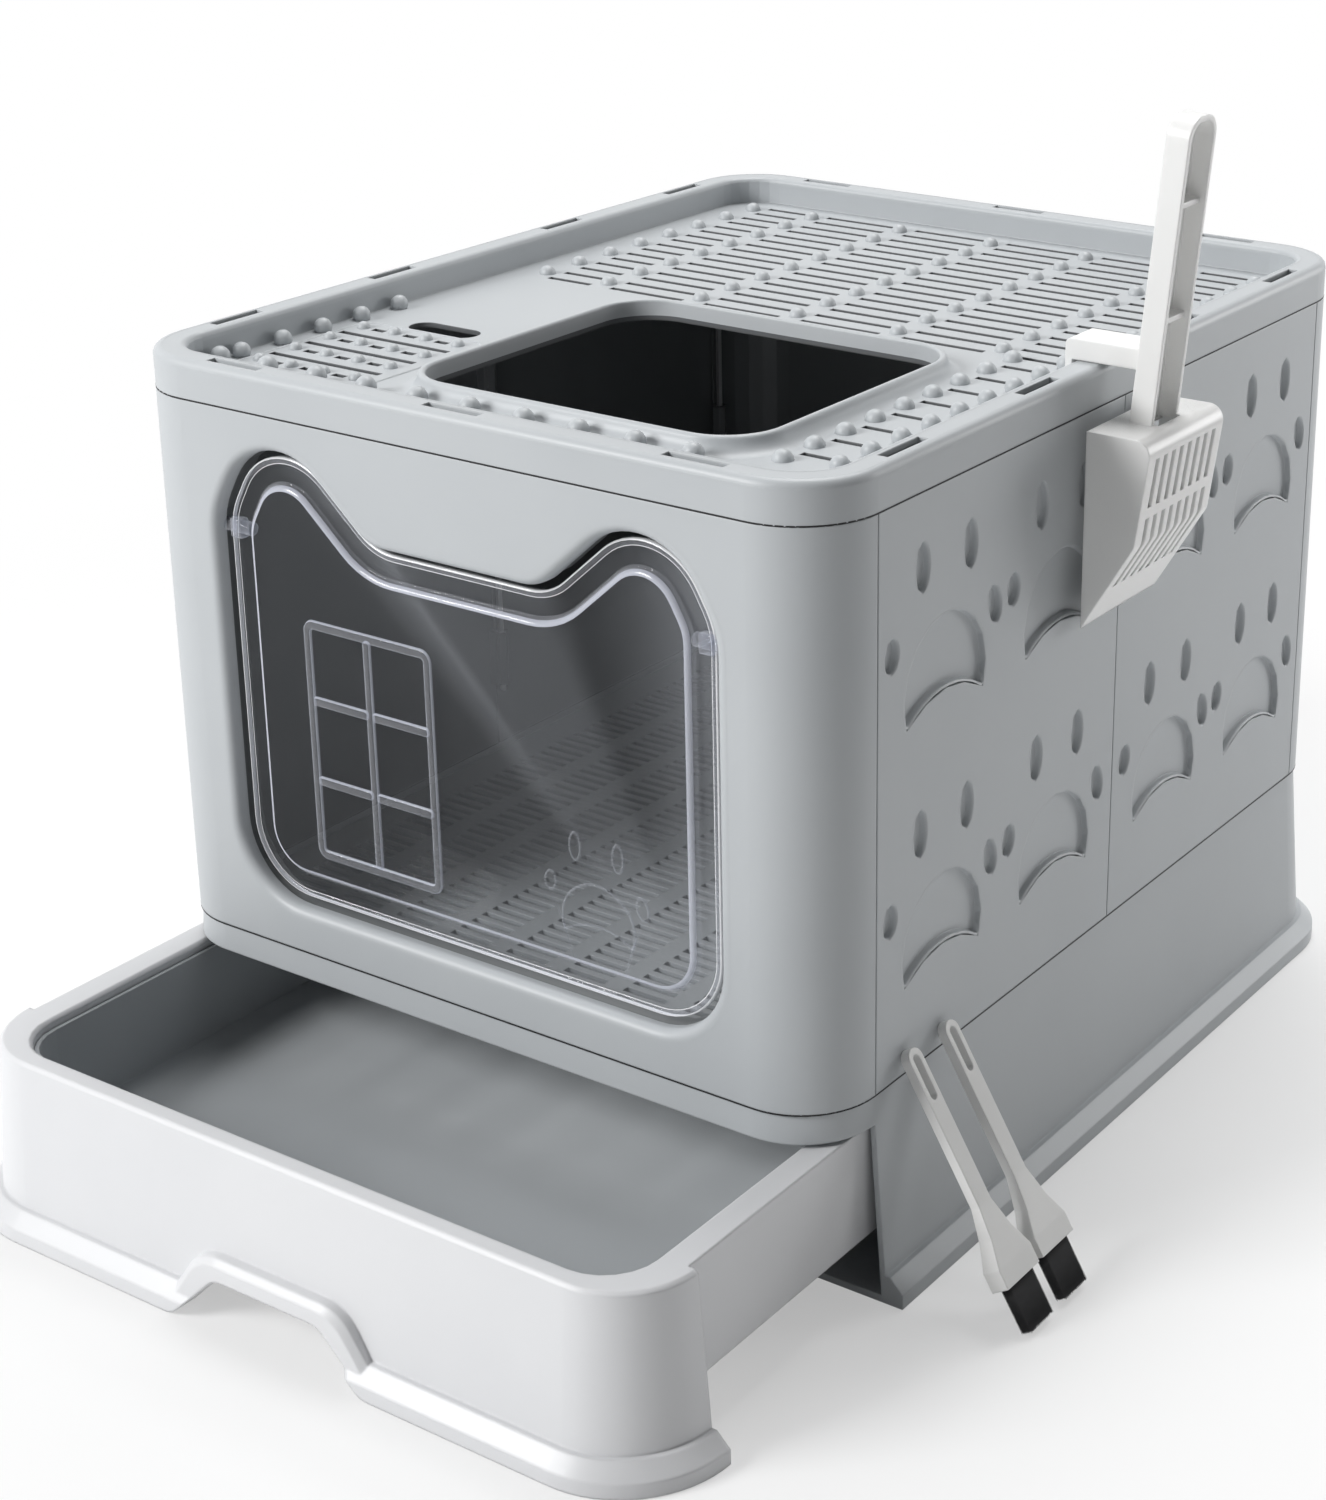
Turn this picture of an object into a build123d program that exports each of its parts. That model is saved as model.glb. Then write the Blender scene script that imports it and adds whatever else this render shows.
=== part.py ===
from build123d import *

import os
from math import atan2, cos, degrees, hypot, radians, sin, tan

os.makedirs("parts", exist_ok=True)

# Top-entry litter box: a base with a pull-out drawer, folding walls, a slotted lid and a flap door.
# Origin on the floor at the middle of the base, +Z up, the door faces -Y. Sizes in millimetres.

# Overall sizes
body_width = 382.0
body_depth = 477.4
body_corner = 37.3
base_height = 100.5
wall_height = 258.2
lid_rise = 18.3

# Walls and clearances
wall = 2.6
panel_thickness = 5.0
seam_gap = 0.8
seat_gap = 0.3
running_gap = 0.5
overrun = 6.0
corner_steps = 6
arc_step = 18.0

# Base
base_inset = 1.2
base_draft = 4.3
flange_reach = 8.0
flange_height = 13.5
flange_chamfer = 6.5
floor_thickness = 3.5
band_height = 14.0
ledge_width = 9.0
ledge_drop = 7.5
rail_width = 12.0
rail_inset = 41.0

# Sieve floor
sieve_thickness = 3.0
sieve_slot_width = 7.0
sieve_margin = 25.0
sieve_columns = 3
sieve_pitch = 30.0
sieve_slot_share = 0.84

# Drawer and litter pan
drawer_out = 125.0
drawer_drop = 16.0
drawer_side_gap = 4.5
drawer_rim = 14.0
drawer_front_rim = 9.0
drawer_corner = 24.0
drawer_floor = 30.0
drawer_back_gap = 10.0
drawer_chamfer = 1.5
pan_drop = 4.5
pan_wall = 2.0
notch_height = 24.0
notch_top = 60.0
notch_foot = 108.0
notch_round = 11.0
notch_band = 10.0
notch_proud = 5.0
notch_chamfer = 3.0

# Paw print pockets: shares of the pad's width and height, then tilts in degrees
paw_depth = 3.0
paw_low_share = 0.1561
paw_row_share = 0.4581
paw_place_shares = (0.2656, 0.7423)
pad_width = 60.0
pad_height = 43.0
pad_hollow = 9.0
toe_across_shares = (-0.69, -0.31, 0.31, 0.65)
toe_up_shares = (0.84, 1.57, 1.56, 0.80)
toe_long_shares = (0.27, 0.38, 0.38, 0.32)
toe_wide_share = 0.19
toe_tilts = (6, 0, 0, -14)
toe_sides = 8
pad_sides = 10

# Fold hinges
knuckle_radius = 4.0
knuckle_length = 30.0
knuckle_middle_shares = (0.5,)
knuckle_end_shares = (0.2, 0.8)
pin_radius = 1.8
pin_gap = 0.15
pin_end = 4.0
pin_sides = 6

# Doorway and flap door
door_side = 52.0
door_sill = 20.2
shoulder_drop = 49.8
ear_inset_share = 0.113
ear_rise = 6.1
dip_drop = 48.4
dip_width_share = 0.3353
corner_round_share = 0.1367
shoulder_round_share = 0.136
tip_round_share = 0.1306
dip_round_share = 0.0824
doorway_chamfer = 4.0
frame_depth = 17.0
frame_wall = 3.0
door_gap = 4.6
door_thickness = 2.6
door_recess = 8.7
axis_drop = 57.4
stub_radius = 3.2
stub_length = 9.0
stub_root = 12.0
socket_length = 11.0
socket_size = 15.0
ridge_width = 3.0
ridge_height = 1.0
ridge_first = 0.0
ridge_second = 12.0
window_inset = 46.0
window_width = 75.0
window_rise = 28.0
window_height_share = 0.619
window_columns = 2
window_rows = 3
mullion = 4.0
door_paw_inset = 69.0
door_paw_rise = 31.0
door_paw_share = 0.62

# Lid
rim_width = 15.0
deck_rise = 4.3
deck_thickness = 2.6
lid_skirt = 6.0
lid_chamfer = 3.2
rim_chamfer = 2.0
entry_width_share = 0.4843
entry_depth = 171.0
entry_front_margin = 53.7
entry_right_margin = 77.0
entry_corner = 26.0
collar_rise = 7.5
collar_width = 3.2
collar_chamfer = 1.0
collar_foot = 4.0
bump_radius = 4.2
bump_top = 2.0
bump_height = 3.6
bump_sides = 4
small_bump_share = 0.75
slot_width = 4.0
slot_margin = 6.5
short_slot_margin = 6.0
rear_land = 34.0
rear_margin = 34.0
rear_pitch = 26.0
rear_column_shares = (-1, -0.7436, -0.3718, 0, 0.3718, 0.7436, 1)
side_margin = 35.0
right_lead = 9.0
right_pitch = 23.0
right_rows = 9
right_across = 28.0
right_slot_margin = 1.5
front_land = 12.0
front_margin = 21.0
front_pitch = 29.8
front_bumps = 10
left_lead = 2.0
left_pitch = 23.0
left_rows = 4
left_margin = 32.0
left_land = 29.0
left_across = 19.0
edge_margin = 20.5
edge_pitch = 26.7
edge_bumps = 5
finger_offset = 7.0
finger_lead = 89.0
finger_length = 40.0
finger_width = 16.0
rim_slot_length = 30.0
rim_slot_width = 5.0
rim_slot_across_shares = (-0.6545, 0, 0.6545)
rim_slot_along_shares = (0.2765, 0.7206)

# Scoop
scoop_middle = -11.0
scoop_width = 70.0
scoop_wall = 2.2
scoop_stand_off = 6.0
scoop_depth_top = 32.0
scoop_depth_low = 25.0
scoop_drop = 23.0
scoop_upper = 49.0
scoop_lower = 42.0
scoop_round = 7.0
scoop_slots = 8
scoop_slot_pitch = 7.6
scoop_slot_width = 3.6
scoop_slot_upper = 23.0
scoop_slot_lower = 34.0
scoop_slot_land = 5.0
scoop_slot_start = 9.0
handle_width = 25.0
handle_depth = 11.0
handle_lean = 5.6
handle_foot = 14.0
handle_length = 138.0
handle_wall = 2.4
handle_round = 10.0
handle_rib_shares = (0.35, 0.72)
hook_width = 20.0
hook_height = 9.5
hook_lip = 3.4
hook_drop = 9.0
hook_round = 3.0

# Brushes
brush_leads = (21.4, 50.9)
brush_length = 130.0
brush_lean = 31.0
grip_thick = 4.6
grip_width = 9.6
head_width = 26.0
head_thick = 9.0
head_length = 9.0
neck_length = 26.0
neck_wide_share = 0.45
hang_slot_length = 21.0
hang_slot_width = 4.4
hang_slot_end = 3.0
tuft_width = 19.0
tuft_thick = 6.0
bristle_length = 22.0
backing = 3.0
bristle_rows = 5
bristle_columns = 30
bristle_radius = 0.28
bristle_sides = 3
bristle_root = 0.5

# Sizes worked out from those above
half_width = body_width / 2
half_depth = body_depth / 2
lid_seam = base_height + wall_height
lid_height = lid_seam + lid_rise
panel_seam = half_depth - body_corner
panel_low = base_height + seat_gap
panel_high = lid_seam - seat_gap
panel_height = panel_high - panel_low
panel_inner = half_width - panel_thickness
hinge_x = panel_inner - knuckle_radius - seam_gap
drawer_top = base_height - drawer_drop
drawer_width = body_width - 2 * drawer_side_gap
ledge_top = base_height - ledge_drop
door_width = body_width - 2 * door_side
door_plane = -half_depth + door_recess
door_bottom = panel_low + door_sill
door_axis = panel_high - axis_drop
dip_height = panel_high - dip_drop
toe_turns = [radians(360 * step / toe_sides) for step in range(toe_sides)]


def stepped_rectangle(width, depth, radius, mode=Mode.ADD):
    """Rectangle whose corners, out of sight, turn in a few flat steps."""
    turns = [90 * (step // (corner_steps + 1)) + 90 / corner_steps * (step % (corner_steps + 1))
             for step in range(4 * (corner_steps + 1))]
    corners = [(width / 2 - radius, depth / 2 - radius), (radius - width / 2, depth / 2 - radius),
               (radius - width / 2, radius - depth / 2), (width / 2 - radius, radius - depth / 2)]
    centres = [corners[step // (corner_steps + 1)] for step in range(len(turns))]
    points = [(x + radius * cos(radians(turn)), y + radius * sin(radians(turn)))
              for (x, y), turn in zip(centres, turns)]
    Polygon(*points, align=None, mode=mode)


def base_outline(height, inset, mode=Mode.ADD):
    """Outline of the tapered base at a height, moved in by an inset, with plain corners inside."""
    grow = (base_height - height) * tan(radians(base_draft)) - base_inset - inset
    shape = stepped_rectangle if inset > 0 else RectangleRounded
    shape(body_width + 2 * grow, body_depth + 2 * grow, body_corner + grow, mode=mode)


def body_outline(inset, mode=Mode.ADD):
    """Outline of the walls and the lid, moved in by an inset, with plain corners inside."""
    shape = stepped_rectangle if inset > 0 else RectangleRounded
    shape(body_width - 2 * inset, body_depth - 2 * inset, body_corner - inset, mode=mode)


def inset_corner(before, corner, after, inset):
    """Corner of an anticlockwise outline after both of its edges move in by an inset."""
    ax, ay = corner[0] - before[0], corner[1] - before[1]
    bx, by = after[0] - corner[0], after[1] - corner[1]
    a, b = hypot(ax, ay), hypot(bx, by)
    turn = (ax * by - ay * bx) / (a * b)
    along = (ax * bx + ay * by) / (a * b)
    back = inset * (1 - along) / turn
    return corner[0] - (ay * inset + ax * back) / a, corner[1] + (ax * inset - ay * back) / a


def inset_corners(corners, inset):
    """All corners of an anticlockwise outline moved in by an inset."""
    after = corners[1:] + corners[:1]
    return [inset_corner(corners[i - 1], corners[i], after[i], inset) for i in range(len(corners))]


def round_corner(before, corner, after, radius):
    """Points that round a corner of an outline, about one to each arc step."""
    start = Vector(before[0] - corner[0], before[1] - corner[1]).normalized()
    end = Vector(after[0] - corner[0], after[1] - corner[1]).normalized()
    half = radians(start.get_angle(end)) / 2
    middle = (start + end).normalized()
    centre = Vector(*corner) + middle * (radius / sin(half))
    first, last = [Vector(*corner) + way * (radius / tan(half)) - centre for way in (start, end)]
    steps = max(2, round((180 - 2 * degrees(half)) / arc_step))
    sweep = 2 * half - radians(180)
    if first.X * last.Y - first.Y * last.X > 0:
        sweep = -sweep
    return [(centre.X + first.X * cos(sweep * k / steps) - first.Y * sin(sweep * k / steps),
             centre.Y + first.X * sin(sweep * k / steps) + first.Y * cos(sweep * k / steps))
            for k in range(steps + 1)]


def ear_outline(inset, mode=Mode.ADD):
    """Face of the doorway's two-eared outline, moved in by an inset with its corners kept round."""
    right = [(door_width / 2, door_bottom), (door_width / 2, panel_high - shoulder_drop),
             (door_width / 2 - door_width * ear_inset_share, panel_high + ear_rise),
             (door_width * dip_width_share / 2, dip_height)]
    corners = inset_corners(right + [(-x, z) for x, z in reversed(right)], inset)
    rounds = [door_width * corner_round_share - inset, door_width * shoulder_round_share - inset,
              door_width * tip_round_share - inset, door_width * dip_round_share + inset]
    radii = [max(r, door_width * tip_round_share / 2) for r in rounds + rounds[::-1]]
    points = [p for k in range(len(corners)) for p in round_corner(corners[k - 1], corners[k],
                                                                   corners[(k + 1) % len(corners)], radii[k])]
    Polygon(*points, align=None, mode=mode)


def paw_outline(x, low, share):
    """Pad and four toes of a paw print at a share of full size."""
    wide, high = pad_width * share, pad_height * share
    hollow = pad_hollow * share
    radius = (wide ** 2 / 4 + high ** 2) / (2 * high)
    reach = degrees(atan2(wide / 2, radius - high))
    turns = [reach * (1 - 2 * step / pad_sides) for step in range(pad_sides + 1)]
    dome = [(x + radius * sin(radians(t)), low + high - radius + radius * cos(radians(t))) for t in turns]
    foot = [(x + wide * share / 4, low + hollow * (1 - share ** 2 / 4)) for share in (-1, 0, 1)]
    Polygon(*dome, *foot, align=None)
    for across, up, long, tilt in zip(toe_across_shares, toe_up_shares, toe_long_shares, toe_tilts):
        toe_x, toe_z = x + across * wide, low + up * high
        tall, broad = long * wide / 2, toe_wide_share * wide / 2
        lean, rise = sin(radians(tilt)), cos(radians(tilt))
        oval = [(broad * sin(turn), tall * cos(turn)) for turn in toe_turns]
        Polygon(*[(toe_x + a * rise + b * lean, toe_z + b * rise - a * lean) for a, b in oval], align=None)


def add_knuckles(side, seam, toward, shares):
    """Hinge knuckles inside a wall's edge, each bored for the fold pin."""
    web = panel_inner - hinge_x + wall / 2
    for share in shares:
        height = panel_low + share * panel_height
        level = Plane.XY.offset(height - knuckle_length / 2)
        with BuildSketch(level) as barrel:
            with Locations((side * (hinge_x + web / 2), seam + toward * (knuckle_radius + seam_gap) / 2)):
                Rectangle(web, knuckle_radius - seam_gap)
            with Locations((side * hinge_x, seam)):
                RegularPolygon(knuckle_radius, pin_sides)
                RegularPolygon(pin_radius + pin_gap, pin_sides, mode=Mode.SUBTRACT)
        extrude(barrel.sketch, amount=knuckle_length)


# Base: tapered tub, open in front for the drawer, with a foot flange, sieve ledge and drawer rails
drawer_bay = base_height - band_height
bay_depth = half_depth + body_corner - panel_seam
rail_height = drawer_floor - seat_gap - floor_thickness
rail_place = half_width - rail_inset
with BuildPart() as base:
    with BuildSketch():
        base_outline(0, -flange_reach)
    extrude(amount=flange_height)
    chamfer(base.edges().group_by(Axis.Z)[-1], flange_chamfer)
    with BuildSketch():
        base_outline(0, 0)
    extrude(amount=base_height, taper=base_draft)
    with BuildSketch(Plane.XY.offset(floor_thickness)):
        base_outline(floor_thickness, wall)
    extrude(amount=base_height, taper=base_draft, mode=Mode.SUBTRACT)
    with BuildSketch(Plane.XY.offset(ledge_top - wall)):
        base_outline(ledge_top, wall / 2)
        body_outline(wall + ledge_width, mode=Mode.SUBTRACT)
    extrude(amount=wall)
    with Locations((0, -panel_seam - bay_depth / 2, (drawer_bay - overrun) / 2)):
        Box(body_width + body_depth, bay_depth, drawer_bay + overrun, mode=Mode.SUBTRACT)
    with Locations((-rail_place, 0, floor_thickness), (rail_place, 0, floor_thickness)):
        Box(rail_width, 2 * panel_seam, rail_height, align=(Align.CENTER, Align.CENTER, Align.MIN))
base.part.label = "base"
export_step(base.part, "parts/base.step")

# Sieve floor: slotted plate on the base's ledge
sieve_cell = (body_width - 2 * (wall + 2 * ledge_width)) / sieve_columns
sieve_rows = int((body_depth - 2 * sieve_margin) / sieve_pitch)
with BuildPart() as sieve_floor:
    with BuildSketch(Plane.XY.offset(ledge_top + seat_gap)):
        base_outline(ledge_top + sieve_thickness, wall + running_gap)
        with GridLocations(sieve_cell, sieve_pitch, sieve_columns, sieve_rows):
            Rectangle(sieve_cell * sieve_slot_share, sieve_slot_width, mode=Mode.SUBTRACT)
    extrude(amount=sieve_thickness)
sieve_floor.part.label = "sieve_floor"
export_step(sieve_floor.part, "parts/sieve_floor.step")

# Drawer, shown pulled out: wrap-round front with a finger notch, and a tray with a hollow rim
drawer_plane = Plane((0, -drawer_out, 0))
notch_wall = half_depth - base_inset + base_height * tan(radians(base_draft))
notch_plane = Plane((0, -drawer_out - notch_wall, 0), x_dir=(1, 0, 0), z_dir=(0, -1, 0))
band_plane = -drawer_out - notch_wall - notch_proud
tray_front = -half_depth + base_inset + drawer_front_rim
tray_back = half_depth - base_inset - wall - drawer_back_gap
cavity_back = tray_back - drawer_rim
cavity_width = drawer_width - 2 * drawer_rim
tray_plane = drawer_plane.offset(drawer_floor)


def tray_outline(grow, mode=Mode.ADD):
    """Outline of the drawer's cavity, grown by an amount."""
    length = cavity_back - tray_front + 2 * grow
    with Locations((0, (cavity_back + tray_front) / 2)):
        stepped_rectangle(cavity_width + 2 * grow, length, drawer_corner + grow, mode=mode)


def rim_outline(inset, mode=Mode.ADD):
    """Outline of the drawer's sides and back under the rim, moved in by an inset."""
    with Locations((0, (tray_back + tray_front - wall) / 2)):
        stepped_rectangle(drawer_width - 2 * inset, tray_back - tray_front + wall - 2 * inset,
                          drawer_corner, mode=mode)


def notch_outline(band, mode=Mode.ADD):
    """Finger notch in the foot of the drawer front, grown by a band."""
    foot, top, height = notch_foot / 2 + band, notch_top / 2 + band, notch_height + band
    radius = notch_round + band
    with BuildLine() as outline:
        FilletPolyline((-foot, 0), (-top, height), (top, height), (foot, 0), radius=radius)
        Line((foot, 0), (-foot, 0))
    make_face(outline.edges(), mode=mode)


with BuildPart(drawer_plane) as drawer:
    with BuildSketch(drawer_plane):
        base_outline(0, -flange_reach)
    extrude(amount=flange_height)
    chamfer(drawer.edges().group_by(Axis.Z)[-1], flange_chamfer)
    with BuildSketch(drawer_plane):
        base_outline(0, 0)
    extrude(amount=drawer_top, taper=base_draft)
    chamfer(drawer.edges().group_by(Axis.Z)[-1], drawer_chamfer)
    with BuildSketch(notch_plane.offset(-2 * wall)):
        notch_outline(notch_band)
    extrude(amount=2 * wall + notch_proud)
    band_face = drawer.faces().filter_by_position(Axis.Y, band_plane - seat_gap, band_plane + seat_gap)
    chamfer(band_face.edges().filter_by_position(Axis.Z, flange_height + seat_gap, drawer_top), notch_chamfer)
    with BuildSketch(drawer_plane):
        base_outline(0, wall)
    extrude(amount=drawer_top - wall, taper=base_draft, mode=Mode.SUBTRACT)
    with Locations((0, -panel_seam - seam_gap, -overrun)):
        Box(body_width + body_depth, body_depth, base_height + overrun, mode=Mode.SUBTRACT,
            align=(Align.CENTER, Align.MIN, Align.MIN))
    with BuildSketch(tray_plane):
        rim_outline(0)
    extrude(amount=drawer_top - drawer_floor)
    with BuildSketch(tray_plane):
        rim_outline(wall)
        tray_outline(wall, mode=Mode.SUBTRACT)
    extrude(amount=drawer_top - drawer_floor - wall, mode=Mode.SUBTRACT)
    with BuildSketch(tray_plane.offset(wall)):
        tray_outline(0)
    extrude(amount=drawer_top, mode=Mode.SUBTRACT)
    with BuildSketch(notch_plane.offset(-drawer_front_rim)):
        notch_outline(0)
    extrude(amount=drawer_front_rim + notch_proud + flange_reach, mode=Mode.SUBTRACT)
    foot_edges = drawer.edges().filter_by(Axis.Y).filter_by_position(Axis.Z, -seat_gap, seat_gap)
    fillet(foot_edges.filter_by_position(Axis.X, -notch_foot, notch_foot), notch_round)
    chamfer(drawer.faces().sort_by(Axis.Z)[-1].inner_wires()[0].edges(), drawer_chamfer)
drawer.part.label = "drawer"
export_step(drawer.part, "parts/drawer.step")

# Litter pan: lift-out liner in the drawer
pan_height = drawer_top - pan_drop - drawer_floor - wall - seat_gap
with BuildPart(drawer_plane) as litter_pan:
    with BuildSketch(tray_plane.offset(wall + seat_gap)):
        tray_outline(-running_gap)
    extrude(amount=pan_height)
    with BuildSketch(tray_plane.offset(wall + seat_gap + pan_wall)):
        tray_outline(-running_gap - pan_wall)
    extrude(amount=pan_height, mode=Mode.SUBTRACT)
litter_pan.part.label = "litter_pan"
export_step(litter_pan.part, "parts/litter_pan.step")

# Front wall: rounded corners, framed doorway and sockets for the door's stubs
with BuildPart() as front_panel:
    with BuildSketch(Plane.XY.offset(panel_low)):
        body_outline(0)
        body_outline(panel_thickness, mode=Mode.SUBTRACT)
        with Locations((0, -panel_seam - seam_gap / 2)):
            Rectangle(body_width, body_corner + overrun, align=(Align.CENTER, Align.MAX), mode=Mode.INTERSECT)
    extrude(amount=panel_height)
    with BuildSketch(Plane.XZ.offset(half_depth - frame_depth)):
        ear_outline(-frame_wall)
    extrude(amount=frame_depth)
    socket_x = (door_width + socket_length) / 2
    with Locations((-socket_x, door_plane, door_axis), (socket_x, door_plane, door_axis)):
        Box(socket_length, socket_size, socket_size)
    with BuildSketch(Plane.XZ.offset(half_depth - frame_depth - overrun)):
        ear_outline(0)
    extrude(amount=frame_depth + 2 * overrun, mode=Mode.SUBTRACT)
    with Locations((0, door_plane, door_axis)):
        Cylinder(stub_radius + running_gap, door_width + 2 * (stub_length + running_gap), rotation=(0, 90, 0),
                 mode=Mode.SUBTRACT)
    chamfer(front_panel.faces().sort_by(Axis.Y)[0].inner_wires()[0].edges(), doorway_chamfer)
    for side in (-1, 1):
        add_knuckles(side, -panel_seam, -1, knuckle_middle_shares)
front_panel.part.label = "front_panel"
export_step(front_panel.part, "parts/front_panel.step")

# Rear wall: plain, with rounded corners
with BuildPart() as rear_panel:
    with BuildSketch(Plane.XY.offset(panel_low)):
        body_outline(0)
        body_outline(panel_thickness, mode=Mode.SUBTRACT)
        with Locations((0, panel_seam + seam_gap / 2)):
            Rectangle(body_width, body_corner + overrun, align=(Align.CENTER, Align.MIN), mode=Mode.INTERSECT)
    extrude(amount=panel_height)
    for side in (-1, 1):
        add_knuckles(side, panel_seam, 1, knuckle_middle_shares)
rear_panel.part.label = "rear_panel"
export_step(rear_panel.part, "parts/rear_panel.step")


def side_wall(side, end):
    """Half of a folding side wall with four paw print pockets and its hinge knuckles."""
    face = Plane((side * half_width, 0, 0), x_dir=(0, side, 0), z_dir=(side, 0, 0))
    near, far = sorted((end * seam_gap / 2, end * (panel_seam - seam_gap / 2)))
    with BuildPart() as half:
        with Locations((side * (half_width - panel_thickness / 2), (near + far) / 2, panel_low)):
            Box(panel_thickness, far - near, panel_height, align=(Align.CENTER, Align.CENTER, Align.MIN))
        with BuildSketch(face):
            for place_share in paw_place_shares:
                for low_share in (paw_low_share, paw_low_share + paw_row_share):
                    paw_outline(side * end * panel_seam * place_share, panel_low + panel_height * low_share, 1)
        extrude(amount=-paw_depth, mode=Mode.SUBTRACT)
        add_knuckles(side, end * panel_seam, -end, knuckle_end_shares)
        add_knuckles(side, 0, end, knuckle_middle_shares if end > 0 else knuckle_end_shares)
    return half.part


for side, side_name in ((-1, "left"), (1, "right")):
    for end, end_name in ((-1, "front"), (1, "rear")):
        panel = side_wall(side, end)
        panel.label = f"{side_name}_{end_name}_panel"
        export_step(panel, f"parts/{panel.label}.step")

# Fold pins: one rod down each fold line, through its knuckles
for side, side_name in ((-1, "left"), (1, "right")):
    for seam, seam_name in ((-panel_seam, "front"), (0, "middle"), (panel_seam, "rear")):
        reach = (knuckle_end_shares[1] - knuckle_end_shares[0]) * panel_height + knuckle_length + 2 * pin_end
        with BuildPart() as fold_pin:
            with BuildSketch(Plane.XY.offset(panel_low + (panel_height - reach) / 2)):
                with Locations((side * hinge_x, seam)):
                    RegularPolygon(pin_radius, pin_sides)
            extrude(amount=reach)
        fold_pin.part.label = f"fold_pin_{side_name}_{seam_name}"
        export_step(fold_pin.part, f"parts/{fold_pin.part.label}.step")

# Flap door: clear plate with raised outline ridges, window bars, a paw print and two hinge stubs
door_back = Plane.XZ.offset(-door_plane - door_thickness / 2)
door_face = door_back.offset(door_thickness)
window_x = -door_width / 2 + window_inset + window_width / 2
window_height = (dip_height - door_bottom) * window_height_share
pane_width = (window_width - mullion) / window_columns
pane_height = (window_height - mullion) / window_rows
stub_span = stub_root + stub_length
with BuildPart() as flap_door:
    with BuildSketch(door_back):
        ear_outline(door_gap)
    extrude(amount=door_thickness)
    for first in (ridge_first, ridge_second):
        with BuildSketch(door_face):
            ear_outline(door_gap + first)
            ear_outline(door_gap + first + ridge_width, mode=Mode.SUBTRACT)
        extrude(amount=ridge_height)
    with BuildSketch(door_face):
        with Locations((window_x, door_bottom + window_rise + window_height / 2)):
            Rectangle(window_width, window_height)
            with GridLocations(pane_width, pane_height, window_columns, window_rows):
                Rectangle(pane_width - mullion, pane_height - mullion, mode=Mode.SUBTRACT)
        paw_outline(door_width / 2 - door_paw_inset, door_bottom + door_paw_rise, door_paw_share)
    extrude(amount=ridge_height)
    stub_x = door_width / 2 - door_gap - stub_root + stub_span / 2
    with Locations((-stub_x, door_plane, door_axis), (stub_x, door_plane, door_axis)):
        Cylinder(stub_radius, stub_span, rotation=(0, 90, 0))
flap_door.part.label = "flap_door"
export_step(flap_door.part, "parts/flap_door.step")

# Lid: hollow rim, slotted and bumped deck, collared entry and a finger hole
lid_deck = lid_seam + deck_rise
deck_low = lid_deck - deck_thickness
collar_top = lid_deck + collar_rise
entry_width = body_width * entry_width_share
entry_right = half_width - entry_right_margin
entry_left = entry_right - entry_width
entry_front = -half_depth + entry_front_margin
entry_back = entry_front + entry_depth
entry_middle = ((entry_left + entry_right) / 2, (entry_front + entry_back) / 2)
bump_taper = degrees(atan2((bump_radius - bump_top) * cos(radians(180 / bump_sides)), bump_height))
rear_start = entry_back + rear_land
rear_rows = int((half_depth - rear_margin - rear_start) / rear_pitch) + 1
rear_grid = [rear_start + rear_pitch * row for row in range(rear_rows)]
rear_columns = [(half_width - side_margin) * share for share in rear_column_shares]
right_grid = [entry_front + right_lead + right_pitch * row for row in range(right_rows)]
right_columns = [half_width - side_margin - right_across, half_width - side_margin]
left_grid = [entry_front + left_lead + left_pitch * row for row in range(left_rows)]
left_span = entry_left - left_land + half_width - left_margin
left_gaps = max(1, int(left_span / left_across))
left_columns = [left_margin - half_width + left_span * k / left_gaps for k in range(left_gaps + 1)]
small_places = [(x, y) for x in left_columns for y in left_grid]
bump_places = [(x, y) for x in rear_columns for y in rear_grid]
bump_places += [(x, y) for x in right_columns for y in right_grid]
bump_places += [(edge_margin - half_width, left_grid[0] + edge_pitch * row) for row in range(edge_bumps)]
bump_places += [(front_margin - half_width + front_pitch * k, entry_front - front_land)
                for k in range(front_bumps)]


def slot_field(columns, rows, margin):
    """Slots in the given rows, one in each gap between columns of bumps."""
    for left, right in zip(columns[:-1], columns[1:]):
        with Locations(*[((left + right) / 2, y) for y in rows]):
            Rectangle(right - left - 2 * margin, slot_width)


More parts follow.
